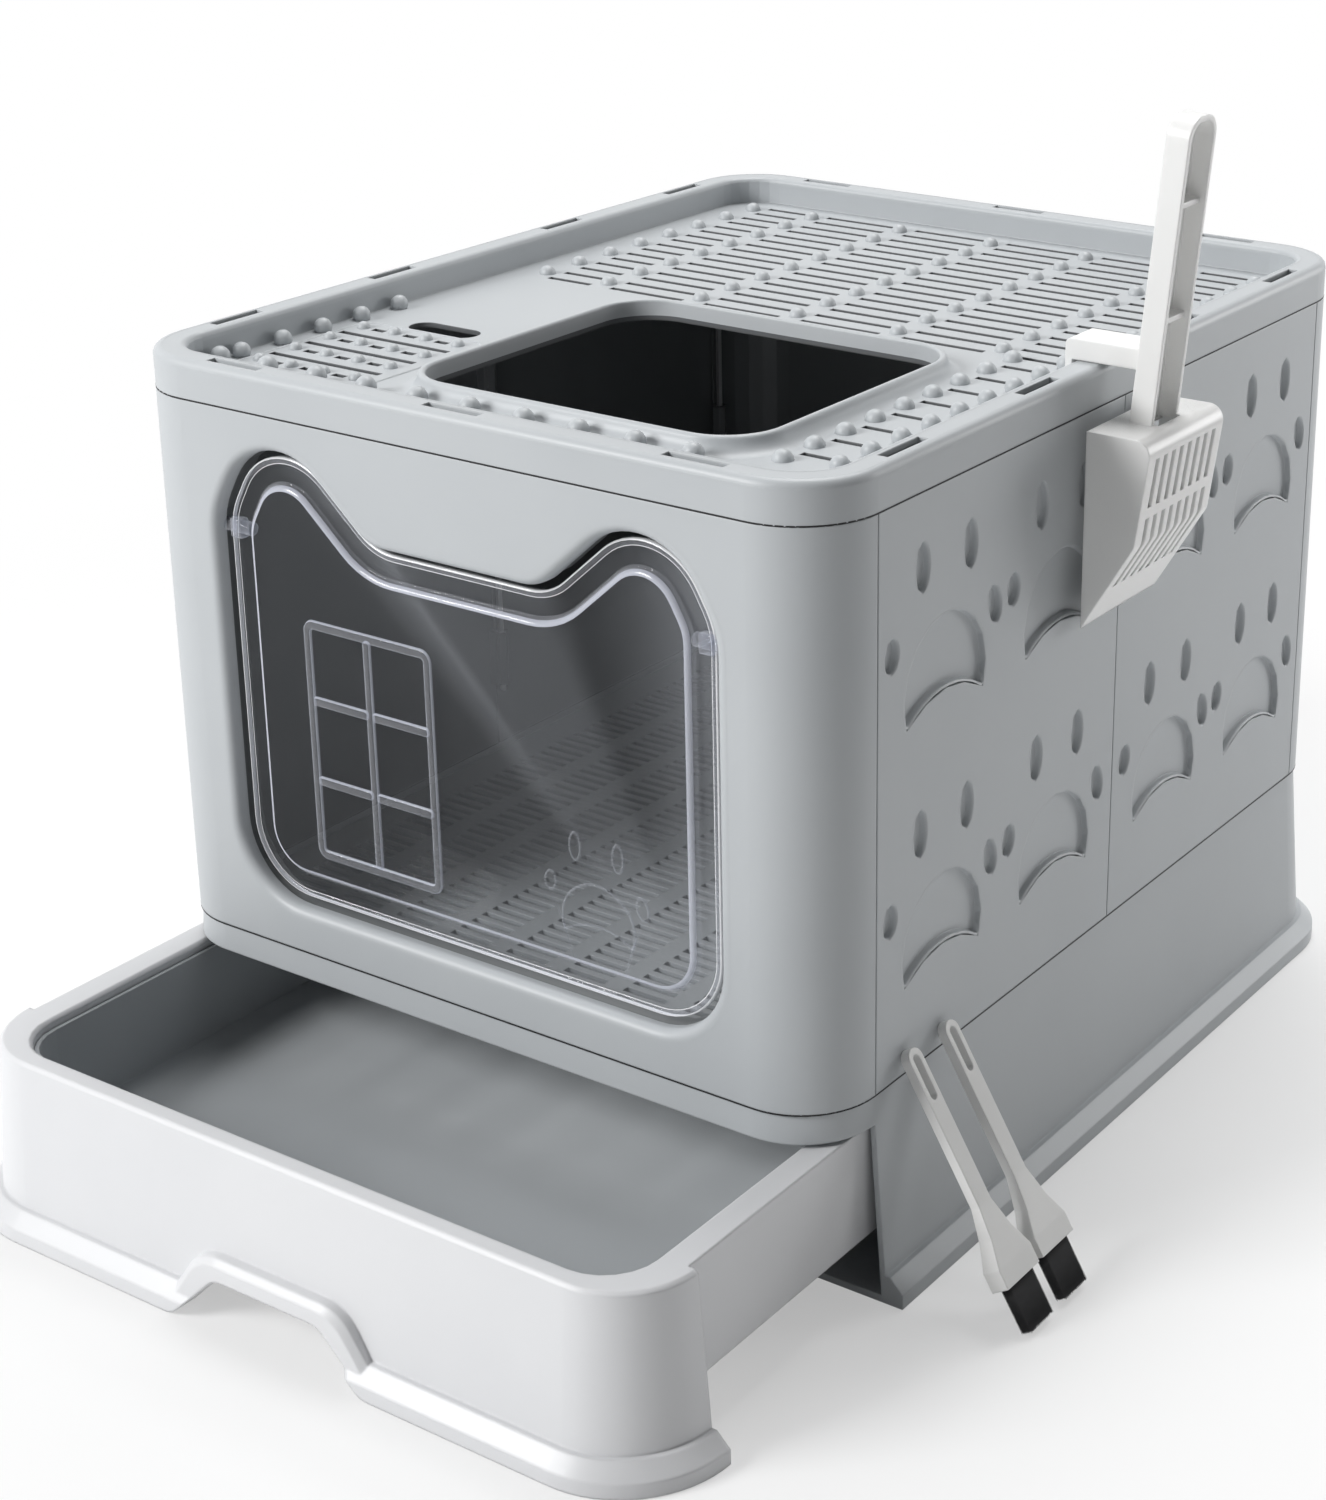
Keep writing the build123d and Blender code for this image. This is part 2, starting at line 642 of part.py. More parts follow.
with BuildPart() as lid:
    with BuildSketch(Plane.XY.offset(lid_seam)):
        body_outline(0)
    extrude(amount=lid_height - lid_seam)
    chamfer(lid.edges().group_by(Axis.Z)[-1], lid_chamfer)
    with BuildSketch(Plane.XY.offset(lid_deck)):
        body_outline(rim_width)
    extrude(amount=lid_height, mode=Mode.SUBTRACT)
    chamfer(lid.faces().sort_by(Axis.Z)[-1].inner_wires()[0].edges(), rim_chamfer)
    with BuildSketch(Plane.XY.offset(lid_seam)):
        body_outline(rim_width)
    extrude(amount=deck_low - lid_seam, mode=Mode.SUBTRACT)
    with BuildSketch(Plane.XY.offset(lid_seam)):
        body_outline(wall)
        body_outline(rim_width - wall, mode=Mode.SUBTRACT)
    extrude(amount=lid_height - wall - lid_seam, mode=Mode.SUBTRACT)
    with BuildSketch(Plane.XY.offset(lid_seam - lid_skirt)):
        body_outline(rim_width - wall)
        body_outline(rim_width, mode=Mode.SUBTRACT)
    extrude(amount=lid_skirt)
    with BuildSketch(Plane.XY.offset(deck_low)):
        with Locations(entry_middle):
            RectangleRounded(entry_width + 2 * collar_width, entry_depth + 2 * collar_width,
                             entry_corner + collar_width)
    extrude(amount=collar_top - deck_low)
    with BuildSketch(Plane.XY.offset(deck_low)):
        with Locations(entry_middle):
            RectangleRounded(entry_width, entry_depth, entry_corner)
    extrude(amount=lid_height, mode=Mode.SUBTRACT)
    collar_edges = lid.edges().filter_by_position(Axis.Z, collar_top - seat_gap, collar_top + seat_gap)
    chamfer(collar_edges, collar_chamfer)
    foot_edges = lid.edges().filter_by_position(Axis.Z, lid_deck - seat_gap, lid_deck + seat_gap)
    reach = entry_depth / 2 + 2 * collar_width
    foot_edges = foot_edges.filter_by_position(Axis.Y, entry_middle[1] - reach, entry_middle[1] + reach)
    reach = entry_width / 2 + 2 * collar_width
    foot_edges = foot_edges.filter_by_position(Axis.X, entry_middle[0] - reach, entry_middle[0] + reach)
    chamfer(foot_edges, collar_foot)
    for places, share in ((bump_places, 1), (small_places, small_bump_share)):
        with BuildSketch(Plane.XY.offset(lid_deck)):
            with Locations(*places):
                RegularPolygon(bump_radius * share, bump_sides)
        extrude(amount=bump_height * share, taper=bump_taper)
    with BuildSketch(Plane.XY.offset(deck_low)):
        slot_field(rear_columns, [y - rear_pitch / 4 for y in rear_grid], slot_margin)
        slot_field(rear_columns, [y + rear_pitch / 4 for y in rear_grid], slot_margin)
        slot_field(right_columns, [y + right_pitch / 2 for y in right_grid[:-1]], right_slot_margin)
        slot_field(left_columns[::left_gaps], [y - left_pitch / 2 for y in left_grid], -bump_radius)
        slot_field(left_columns, left_grid, short_slot_margin)
        with Locations(((entry_left - half_width) / 2 + finger_offset, entry_front + finger_lead)):
            SlotOverall(finger_length, finger_width)
    extrude(amount=lid_height, mode=Mode.SUBTRACT)
    with BuildSketch(Plane.XY.offset(lid_height - 2 * wall)):
        for end in (-1, 1):
            with Locations(*[(half_width * share, end * (half_depth - rim_width / 2))
                             for share in rim_slot_across_shares]):
                Rectangle(rim_slot_length, rim_slot_width)
            for share in rim_slot_along_shares:
                with Locations(*[(side * (half_width - rim_width / 2), end * half_depth * share)
                                 for side in (-1, 1)]):
                    Rectangle(rim_slot_width, rim_slot_length)
    extrude(amount=lid_height, mode=Mode.SUBTRACT)
lid.part.label = "lid"
export_step(lid.part, "parts/lid.step")

# Scoop: slotted bowl, open towards the wall, with a channel handle and a hook over the lid's rim
scoop_x = half_width + scoop_stand_off
scoop_top = lid_height - scoop_drop
scoop_bend = scoop_top - scoop_upper
scoop_tip = scoop_bend - scoop_lower
scoop_slope = (scoop_bend - scoop_tip) / scoop_depth_low
handle_out = Vector(cos(radians(handle_lean)), 0, -sin(radians(handle_lean)))
handle_root = Vector(scoop_x + handle_foot, scoop_middle, scoop_top - scoop_wall)
handle_back = Plane(handle_root - handle_out * (handle_depth / 2), x_dir=(0, 1, 0), z_dir=handle_out)
hook_low = lid_height + seat_gap
hook_outer = half_width - rim_width - 2 * running_gap
hook_inner = hook_outer - hook_lip
hook_right = scoop_x + handle_foot - handle_depth / 2 + (hook_low - scoop_top) * tan(radians(handle_lean))


def scoop_profile(reach, inset, radius):
    """Side view of the bowl, moved in by an inset, with its open side moved out by a reach."""
    corners = [(scoop_x - reach, scoop_top), (scoop_x - reach, scoop_tip - scoop_slope * reach),
               (scoop_x + scoop_depth_low, scoop_bend), (scoop_x + scoop_depth_top, scoop_top)]
    corners = inset_corners(corners, inset)
    with BuildLine() as outline:
        FilletPolyline(*corners[1:], corners[0], radius=radius)
        Line(corners[0], corners[1])
    make_face(outline.edges())


def handle_outline(inset):
    """Handle seen from the front, round at the top, moved in by an inset."""
    half, top = handle_width / 2 - inset, handle_length - inset
    with BuildLine() as outline:
        FilletPolyline((-half, 0), (-half, top), (half, top), (half, 0), radius=handle_round - inset)
        Line((half, 0), (-half, 0))
    make_face(outline.edges())


with BuildPart() as scoop:
    with BuildSketch(Plane.XZ.offset(-scoop_middle - scoop_width / 2)):
        scoop_profile(0, 0, scoop_round)
    extrude(amount=scoop_width)
    with BuildSketch(Plane.XZ.offset(-scoop_middle - scoop_width / 2 + scoop_wall)):
        scoop_profile(overrun, scoop_wall, scoop_round - scoop_wall)
    extrude(amount=scoop_width - 2 * scoop_wall, mode=Mode.SUBTRACT)
    upper = scoop_top - scoop_slot_start - scoop_slot_upper / 2
    lower = scoop_top - scoop_slot_start - scoop_slot_upper - scoop_slot_land - scoop_slot_lower / 2
    with BuildSketch(Plane.YZ.offset(scoop_x)):
        for height, length in ((upper, scoop_slot_upper), (lower, scoop_slot_lower)):
            with Locations((scoop_middle, height)):
                with GridLocations(scoop_slot_pitch, length, scoop_slots, 1):
                    Rectangle(scoop_slot_width, length)
    extrude(amount=scoop_depth_top + overrun, mode=Mode.SUBTRACT)
    with BuildSketch(handle_back):
        handle_outline(0)
    extrude(amount=handle_depth)
    with BuildSketch(handle_back.offset(handle_wall)):
        handle_outline(handle_wall)
    extrude(amount=handle_depth, mode=Mode.SUBTRACT)
    with BuildSketch(handle_back):
        with Locations(*[(0, handle_length * share) for share in handle_rib_shares]):
            Rectangle(handle_width - handle_wall, handle_wall)
    extrude(amount=handle_depth - handle_wall)
    with BuildSketch(Plane.XZ.offset(-scoop_middle - hook_width / 2)):
        with BuildLine():
            FilletPolyline((hook_right + handle_wall, hook_low + hook_height),
                           (hook_inner, hook_low + hook_height), (hook_inner, lid_height - hook_drop),
                           radius=hook_round)
            Polyline((hook_inner, lid_height - hook_drop), (hook_outer, lid_height - hook_drop),
                     (hook_outer, hook_low), (hook_right + handle_wall, hook_low),
                     (hook_right + handle_wall, hook_low + hook_height))
        make_face()
    extrude(amount=hook_width)
scoop.part.label = "scoop"
export_step(scoop.part, "parts/scoop.step")

# Brushes: flat handle with a hang slot, flared head, and a tuft of bristles, leaning on the right wall
brush_rise = Vector(-sin(radians(brush_lean)), 0, cos(radians(brush_lean)))
brush_out = Vector(cos(radians(brush_lean)), 0, sin(radians(brush_lean)))
foot_x = half_width + seat_gap - (brush_rise * brush_length).X + (brush_out * grip_thick / 2).X
foot_z = tuft_thick / 2 * sin(radians(brush_lean)) + seat_gap
neck_start = bristle_length + head_length
neck_end = neck_start + neck_length
neck_waist = neck_start + neck_length * neck_wide_share
neck_middle = (head_width + grip_width) * neck_wide_share / 2
grip_end = brush_length - grip_width / 2
for index, lead in enumerate(brush_leads, start=1):
    foot = Vector(foot_x, lead - panel_seam, foot_z)
    along = Plane(foot, x_dir=(0, 1, 0), z_dir=brush_rise)
    flat = Plane(foot - brush_out * (head_thick / 2), x_dir=(0, 1, 0), z_dir=brush_out)
    edge = Plane(foot + Vector(0, head_width / 2, 0), x_dir=brush_out, z_dir=(0, -1, 0))
    with BuildPart() as brush_handle:
        with BuildSketch(flat):
            with BuildLine():
                right = Polyline((0, bristle_length), (head_width / 2, bristle_length),
                                 (head_width / 2, neck_start), (neck_middle, neck_waist),
                                 (grip_width / 2, neck_end), (grip_width / 2, grip_end))
                ThreePointArc((grip_width / 2, grip_end), (0, brush_length), (-grip_width / 2, grip_end))
                mirror(right, about=Plane.YZ)
            make_face()
            with Locations((0, brush_length - hang_slot_end - hang_slot_length / 2)):
                SlotOverall(hang_slot_length, hang_slot_width, rotation=90, mode=Mode.SUBTRACT)
        extrude(amount=head_thick)
        with BuildSketch(edge):
            with BuildLine():
                side = Polyline((0, bristle_length), (head_thick / 2, bristle_length),
                                (head_thick / 2, neck_start), (grip_thick / 2, neck_end),
                                (grip_thick / 2, brush_length), (0, brush_length))
                mirror(side, about=Plane.YZ)
            make_face()
        extrude(amount=head_width, mode=Mode.INTERSECT)
        with BuildSketch(along.offset(bristle_length)):
            Rectangle(tuft_width + 2 * seat_gap, tuft_thick + 2 * seat_gap)
        extrude(amount=backing + seat_gap, mode=Mode.SUBTRACT)
    brush_handle.part.label = f"brush_{index}_handle"
    export_step(brush_handle.part, f"parts/{brush_handle.part.label}.step")

    across = (tuft_width - 3 * bristle_radius) / (bristle_columns - 1)
    deep = (tuft_thick - 3 * bristle_radius) / (bristle_rows - 1)
    with BuildPart(along) as bristles:
        with BuildSketch(along.offset(bristle_length)):
            Rectangle(tuft_width, tuft_thick)
        extrude(amount=backing)
        with BuildSketch(along):
            with GridLocations(across, deep, bristle_columns, bristle_rows):
                RegularPolygon(bristle_radius, bristle_sides)
        extrude(amount=bristle_length + bristle_root)
    bristles.part.label = f"brush_{index}_bristles"
    export_step(bristles.part, f"parts/{bristles.part.label}.step")
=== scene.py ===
"""Looks of a top-entry litter box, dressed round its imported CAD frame."""

import itertools
import logging
import math
import random
from dataclasses import dataclass, field
from enum import Enum
from typing import Any, Iterable, Optional, Union

import bmesh
import bpy
from mathutils import Matrix, Vector


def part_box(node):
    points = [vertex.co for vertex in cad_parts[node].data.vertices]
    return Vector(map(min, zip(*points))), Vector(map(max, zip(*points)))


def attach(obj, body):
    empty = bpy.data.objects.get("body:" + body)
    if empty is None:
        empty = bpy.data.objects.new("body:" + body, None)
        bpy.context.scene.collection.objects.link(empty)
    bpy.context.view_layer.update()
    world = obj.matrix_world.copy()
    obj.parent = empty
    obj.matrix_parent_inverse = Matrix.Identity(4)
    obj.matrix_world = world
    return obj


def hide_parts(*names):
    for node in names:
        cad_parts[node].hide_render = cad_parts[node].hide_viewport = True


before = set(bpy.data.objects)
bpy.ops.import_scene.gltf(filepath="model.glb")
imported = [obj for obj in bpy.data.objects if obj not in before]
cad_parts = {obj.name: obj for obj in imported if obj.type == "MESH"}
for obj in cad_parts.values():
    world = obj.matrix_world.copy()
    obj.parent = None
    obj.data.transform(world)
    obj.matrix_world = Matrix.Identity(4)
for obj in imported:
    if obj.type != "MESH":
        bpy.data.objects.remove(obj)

log = logging.getLogger("litter_box")
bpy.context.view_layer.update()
MM = 0.001
Triple = tuple[float, float, float]
Colour = Triple
Value = Union["Wire", float, int, tuple]


class Body(Enum):
    """Rigid bodies that pieces ride on."""

    HOUSING = "housing"
    DOOR = "door"
    LID = "lid"
    BRUSH_1 = "brush_1"
    BRUSH_2 = "brush_2"


class Slot(Enum):
    """Material slots of the record that new pieces use."""

    BODY = "body_grey"
    DOOR = "clear_door"
    BRISTLE = "bristle_black"


class DoorFace(Enum):
    """Material numbers on the door's plate."""

    CLEAR = 0
    RIDGE = 1
    EDGE = 2
    BEVEL = 3


class BarFace(Enum):
    """Material numbers on the door's window bars."""

    CROWN = 0
    FLANK = 1


class Wire:
    """A shader socket that takes part in Python sums."""

    def __init__(self, desk: "Desk", socket: bpy.types.NodeSocket) -> None:
        """Keeps the socket and the desk that its nodes stand on."""
        self.desk = desk
        self.socket = socket

    def _sum(self, operation: str, first: Value, second: Value) -> "Wire":
        """Adds one Math node.

        Args:
            operation: the Math node's operation.
            first: its first value.
            second: its second value.

        Returns:
            The node's output.
        """
        return self.desk.node("ShaderNodeMath", {"operation": operation}, {0: first, 1: second})

    def __add__(self, other: Value) -> "Wire":
        """Sum of this and another value."""
        return self._sum("ADD", self, other)

    def __radd__(self, other: Value) -> "Wire":
        """Sum of another value and this."""
        return self._sum("ADD", other, self)

    def __sub__(self, other: Value) -> "Wire":
        """This less another value."""
        return self._sum("SUBTRACT", self, other)

    def __rsub__(self, other: Value) -> "Wire":
        """Another value less this."""
        return self._sum("SUBTRACT", other, self)

    def __mul__(self, other: Value) -> "Wire":
        """Product of this and another value."""
        return self._sum("MULTIPLY", self, other)

    def __rmul__(self, other: Value) -> "Wire":
        """Product of another value and this."""
        return self._sum("MULTIPLY", other, self)

    def __lt__(self, other: Value) -> "Wire":
        """1 where this is below another value, and 0 elsewhere."""
        return self._sum("LESS_THAN", self, other)

    def clamp(self) -> "Wire":
        """This held between 0 and 1."""
        return self.desk.node("ShaderNodeClamp", None, {"Value": self})


class Desk:
    """Node tree of a material or world, with one method that adds any node."""

    def __init__(self, owner: Union[bpy.types.Material, bpy.types.World]) -> None:
        """Empties the owner's node tree.

        Args:
            owner: the material or world.
        """
        self.owner = owner
        owner.use_nodes = True
        self.tree = owner.node_tree
        self.tree.nodes.clear()

    @classmethod
    def material(cls, name: str) -> "Desk":
        """Starts a new material."""
        return cls(bpy.data.materials.new(name))

    def node(self, kind: str, settings: Optional[dict[str, Any]] = None,
             values: Optional[dict[Union[str, int], Value]] = None, out: Union[str, int, None] = 0) -> Wire:
        """Adds a node, sets it up and links it.

        Args:
            kind: the node's type name.
            settings: properties that are set first; "stops" fills a colour ramp.
            values: numbers, tuples or wires for its input sockets.
            out: name or number of the output that is handed back, or None on a node that has none.

        Returns:
            The wanted output.
        """
        made = self.tree.nodes.new(kind)
        for key, setting in (settings or {}).items():
            if key == "stops":
                self._fill_ramp(made.color_ramp, setting)
            else:
                setattr(made, key, setting)
        for key, value in (values or {}).items():
            if isinstance(value, Wire):
                self.tree.links.new(value.socket, made.inputs[key])
            elif isinstance(value, tuple) and len(value) == 3 and made.inputs[key].type == "RGBA":
                made.inputs[key].default_value = (*value, 1.0)
            else:
                made.inputs[key].default_value = value
        return Wire(self, None if out is None else made.outputs[out])

    @staticmethod
    def _fill_ramp(ramp: bpy.types.ColorRamp, stops: Iterable[tuple[float, float]]) -> None:
        """Sets a grey ramp's stops.

        Args:
            ramp: the ramp.
            stops: place and level of each stop.
        """
        for index, (place, level) in enumerate(stops):
            stop = ramp.elements[index] if index < 2 else ramp.elements.new(place)
            stop.position = place
            stop.color = (level, level, level, 1.0)

    def coords(self) -> Wire:
        """Object coordinates."""
        return self.node("ShaderNodeTexCoord", None, None, "Object")

    def noise(self, scale: float, detail: float, roughness: float = 0.5) -> Wire:
        """Noise on Object coordinates.

        Args:
            scale: waves to the metre.
            detail: number of finer layers.
            roughness: strength of the finer layers.

        Returns:
            The noise's level.
        """
        values = {"Vector": self.coords(), "Scale": scale, "Detail": detail, "Roughness": roughness}
        return self.node("ShaderNodeTexNoise", None, values, 0)

    def ramp(self, level: Wire, *stops: tuple[float, float]) -> Wire:
        """Sends a level through a grey ramp."""
        return self.node("ShaderNodeValToRGB", {"stops": stops}, {"Fac": level})

    def blend(self, factor: Value, first: Value, second: Value) -> Wire:
        """Mixes two colours by a factor."""
        return self.node("ShaderNodeMix", {"data_type": "RGBA"}, {0: factor, 6: first, 7: second}, 2)

    def shader(self, values: dict[Union[str, int], Value]) -> Wire:
        """A principled surface with the given sockets."""
        return self.node("ShaderNodeBsdfPrincipled", None, values)

    def backdrop_rays(self) -> Wire:
        """Marks the rays that show the background.

        Returns:
            1 on rays to the camera, in gloss or through glass, and 0 on other rays.
        """
        camera, gloss, glass = (self.node("ShaderNodeLightPath", None, None, f"Is {kind} Ray")
                                for kind in ("Camera", "Glossy", "Transmission"))
        return (camera + gloss + glass).clamp()

    def done(self, surface: Wire) -> Union[bpy.types.Material, bpy.types.World]:
        """Links the surface to the output.

        Args:
            surface: the finished surface.

        Returns:
            The material or world.
        """
        kind = "ShaderNodeOutputWorld" if isinstance(self.owner, bpy.types.World) else "ShaderNodeOutputMaterial"
        self.node(kind, None, {"Surface": surface}, None)
        return self.owner


@dataclass(frozen=True)
class MouldedPlastic:
    """Injection-moulded plastic: fine spark grain, faint flow clouds, softened edges painted slightly paler as a
    painted highlight, and, where its colour is given, painted shade on the faces inside the box.
    """

    name: str
    colour: Colour
    shade: Colour
    roughness: float = 0.42
    spread: float = 0.10
    grain: float = 0.10
    edge_radius: float = 1.2 * MM
    edge_highlight: float = 0.10
    bleed: float = 0.0
    # colour of the painted shade on faces inside the box; None paints none
    inside_shade_colour: Optional[Colour] = None
    bend_centre: Triple = (153.7 * MM, 201.4 * MM, 0.0)
    inner_bend: float = 33.5 * MM
    inner_top: float = 1.0
    cloud_scale: float = 9.0
    cloud_span: tuple[float, float] = (0.35, 0.65)
    speck_scale: float = 2600.0
    speck_depth: float = 0.2 * MM
    edge_samples: int = 6
    edge_gain: float = 3.0
    highlight_lift: float = 2.0
    highlight_share: float = 5.0
    bleed_reach: float = 4.0 * MM
    refraction: float = 1.46

    def inside(self, desk: Desk) -> Wire:
        """Marks the faces inside the box, which get the painted shade.

        Args:
            desk: the material under way.

        Returns:
            1 within the walls' rounded plan and below inner_top, and 0 elsewhere.
        """
        reach = desk.coords()
        for operation, other in (("ABSOLUTE", (0.0, 0.0, 0.0)), ("MULTIPLY", (1.0, 1.0, 0.0)),
                                 ("SUBTRACT", self.bend_centre), ("MAXIMUM", (0.0, 0.0, 0.0))):
            reach = desk.node("ShaderNodeVectorMath", {"operation": operation}, {0: reach, 1: other})
        reach = desk.node("ShaderNodeVectorMath", {"operation": "LENGTH"}, {0: reach}, "Value")
        height = desk.node("ShaderNodeSeparateXYZ", None, {0: desk.coords()}, "Z")
        return (reach < self.inner_bend) * (height < self.inner_top)

    def make(self) -> bpy.types.Material:
        """Builds the material.

        Returns:
            A principled plastic whose edges are rounded in the shading.
        """
        desk = Desk.material(self.name)
        cloud = desk.noise(self.cloud_scale, 3.0)
        speck = desk.noise(self.speck_scale, 2.0)
        soft = desk.node("ShaderNodeBevel", {"samples": self.edge_samples}, {"Radius": self.edge_radius})
        true = desk.node("ShaderNodeNewGeometry", None, None, "True Normal")
        square = desk.node("ShaderNodeVectorMath", {"operation": "DOT_PRODUCT"}, {0: soft, 1: true}, "Value")
        edge = ((1.0 - square) * self.edge_gain).clamp()
        flow = desk.ramp(cloud, *zip(self.cloud_span, (0.0, 1.0)))
        tone = desk.blend(flow, self.shade, self.colour)
        # painted highlight: rounded edges are painted paler in colour, where they would catch the light
        pale = tuple(min(1.0, level * (1.0 + self.edge_highlight * self.highlight_lift)) for level in self.colour)
        tone = desk.blend(edge * (self.edge_highlight * self.highlight_share), tone, pale)
        # painted shade: faces inside the box are painted a darker colour, for the shade that falls inside it
        if self.inside_shade_colour:
            tone = desk.blend(self.inside(desk), tone, self.inside_shade_colour)
        rough = (cloud - 0.5) * self.spread + (speck - 0.5) * self.spread + self.roughness
        bump = desk.node("ShaderNodeBump", None, {"Strength": self.grain, "Distance": self.speck_depth,
                                                  "Height": speck, "Normal": soft})
        values = {"Base Color": tone, "Roughness": rough, "Normal": bump, "IOR": self.refraction}
        if self.bleed:
            values.update({"Subsurface Weight": self.bleed, "Subsurface Radius": (self.bleed_reach,) * 3,
                           "Subsurface Scale": 1.0})
        return desk.done(desk.shader(values))


@dataclass(frozen=True)
class ClearAcrylic:
    """Clear acrylic: see-through face on, bright where it turns away."""

    name: str
    tint: Colour
    sheen: Colour
    least: float
    reach: float
    facing: float = 0.35
    haze_scale: float = 60.0
    haze_share: float = 0.012
    roughness: float = 0.03
    spread: float = 0.05
    coat: float = 0.6
    refraction: float = 1.49

    def make(self) -> bpy.types.Material:
        """Builds the material.

        Returns:
            A mix of clear and glossy surfaces by how far the face turns.
        """
        desk = Desk.material(self.name)
        turn = desk.node("ShaderNodeLayerWeight", None, {"Blend": self.facing}, "Facing")
        haze = desk.noise(self.haze_scale, 3.0)
        rough = haze * self.spread + self.roughness
        clear = desk.node("ShaderNodeBsdfTransparent", None, {"Color": self.tint})
        gloss = desk.shader({"Base Color": self.sheen, "Roughness": rough, "IOR": self.refraction,
                             "Coat Weight": self.coat})
        factor = (turn * turn * self.reach + haze * self.haze_share + self.least).clamp()
        return desk.done(desk.node("ShaderNodeMixShader", None, {0: factor, 1: clear, 2: gloss}))


@dataclass(frozen=True)
class Nylon:
    """Black nylon strands with a dull sheen."""

    name: str
    colour: Colour
    gleam: float = 2.4
    drift_scale: float = 900.0
    roughness: float = 0.36
    spread: float = 0.2

    def make(self) -> bpy.types.Material:
        """Builds the material.

        Returns:
            A dark surface that drifts in tone from strand to strand.
        """
        desk = Desk.material(self.name)
        drift = desk.noise(self.drift_scale, 2.0)
        tone = desk.blend(drift, self.colour, tuple(level * self.gleam for level in self.colour))
        return desk.done(desk.shader({"Base Color": tone, "Roughness": drift * self.spread + self.roughness}))


@dataclass(frozen=True)
class PinSteel:
    """Drawn steel rod with fine lines along it."""

    name: str
    colour: Colour
    shade: float = 0.8
    line_scale: Triple = (900.0, 900.0, 12.0)
    roughness: float = 0.25
    spread: float = 0.2

    def make(self) -> bpy.types.Material:
        """Builds the material.

        Returns:
            A bare metal whose noise is stretched along the rod.
        """
        desk = Desk.material(self.name)
        drawn = desk.node("ShaderNodeMapping", None, {"Vector": desk.coords(), "Scale": self.line_scale})
        lines = desk.node("ShaderNodeTexNoise", None, {"Vector": drawn, "Scale": 1.0, "Detail": 2.0}, 0)
        tone = desk.blend(lines, self.colour, tuple(level * self.shade for level in self.colour))
        return desk.done(desk.shader({"Base Color": tone, "Metallic": 1.0,
                                      "Roughness": lines * self.spread + self.roughness}))


GREY: Colour = (0.465, 0.487, 0.503)
GREY_SHADE: Colour = (0.445, 0.467, 0.484)
DECK = 363.0


@dataclass
class Finishes:
    """All finishes of the object, made once."""

    body: bpy.types.Material = field(init=False)
    wall: bpy.types.Material = field(init=False)
    lid: bpy.types.Material = field(init=False)
    sieve: bpy.types.Material = field(init=False)
    seam: bpy.types.Material = field(init=False)
    drawer: bpy.types.Material = field(init=False)
    pan: bpy.types.Material = field(init=False)
    plate: bpy.types.Material = field(init=False)
    ridge: bpy.types.Material = field(init=False)
    bevel: bpy.types.Material = field(init=False)
    edge: bpy.types.Material = field(init=False)
    scoop: bpy.types.Material = field(init=False)
    brush: bpy.types.Material = field(init=False)
    bristle: bpy.types.Material = field(init=False)
    pin: bpy.types.Material = field(init=False)

    def __post_init__(self) -> None:
        """Makes the materials."""
        self.body = MouldedPlastic("body_grey_plastic", GREY, GREY_SHADE).make()
        # painted shade: the walls' faces inside the box are painted dark grey
        self.wall = MouldedPlastic("wall_grey_plastic_painted_inside_shade", GREY, GREY_SHADE, inside_shade_colour=(0.155, 0.163, 0.168)).make()
        # painted shade: the lid's faces inside the box, below the deck, are painted darker still
        self.lid = MouldedPlastic("lid_grey_plastic_painted_inside_shade", GREY, GREY_SHADE, inside_shade_colour=(0.10, 0.105, 0.11),
                                  inner_top=(DECK - 0.15) * MM).make()
        # painted shade: the sieve's grey is the body grey darkened to about half, for the shade inside the box
        self.sieve = MouldedPlastic("sieve_grey_plastic_painted_shade", (0.25, 0.262, 0.27), (0.23, 0.242, 0.25)).make()
        # painted shadow: a near-black finish for the rings drawn where pieces meet
        self.seam = MouldedPlastic("seam_shadow", (0.012, 0.012, 0.013), (0.010, 0.010, 0.011), roughness=0.7,
                                   edge_highlight=0.0).make()
        self.drawer = MouldedPlastic("drawer_white_plastic", (0.69, 0.696, 0.71), (0.665, 0.672, 0.688),
                                     roughness=0.36, edge_radius=2.0 * MM).make()
        self.pan = MouldedPlastic("pan_grey_plastic", (0.475, 0.497, 0.513), (0.44, 0.462, 0.478),
                                  roughness=0.34).make()
        self.plate = ClearAcrylic("door_clear_acrylic", (0.975, 0.98, 0.985), (0.80, 0.83, 0.88), 0.006, 0.3).make()
        self.ridge = ClearAcrylic("door_ridge_acrylic", (0.92, 0.93, 0.96), (0.86, 0.88, 0.94), 0.07, 0.9).make()
        # painted highlight: half of the bevel finish is milky lilac gloss on every face, painting lilac highlight
        # bands
        self.bevel = ClearAcrylic("door_bevel_painted_highlight_acrylic", (0.90, 0.91, 0.95), (0.80, 0.83, 0.94), 0.50, 0.4).make()
        # painted highlight: three quarters of the edge finish is milky white on every face, painting a bright outline
        # along the door's edge
        self.edge = ClearAcrylic("door_edge_painted_highlight_acrylic", (0.90, 0.91, 0.94), (0.95, 0.96, 0.98), 0.75, 0.25).make()
        self.scoop = MouldedPlastic("scoop_white_plastic", (0.86, 0.86, 0.85), (0.83, 0.83, 0.82),
                                    roughness=0.30, bleed=0.25).make()
        self.brush = MouldedPlastic("brush_white_plastic", (0.80, 0.80, 0.79), (0.74, 0.74, 0.73),
                                    roughness=0.34, edge_radius=0.9 * MM, grain=0.25).make()
        self.bristle = Nylon("bristle_black_nylon", (0.006, 0.006, 0.007)).make()
        self.pin = PinSteel("fold_pin_steel", (0.55, 0.55, 0.56)).make()


@dataclass(frozen=True)
class Corner:
    """A corner of a flat outline and the radius that rounds it, in millimetres."""

    x: float
    y: float
    radius: float


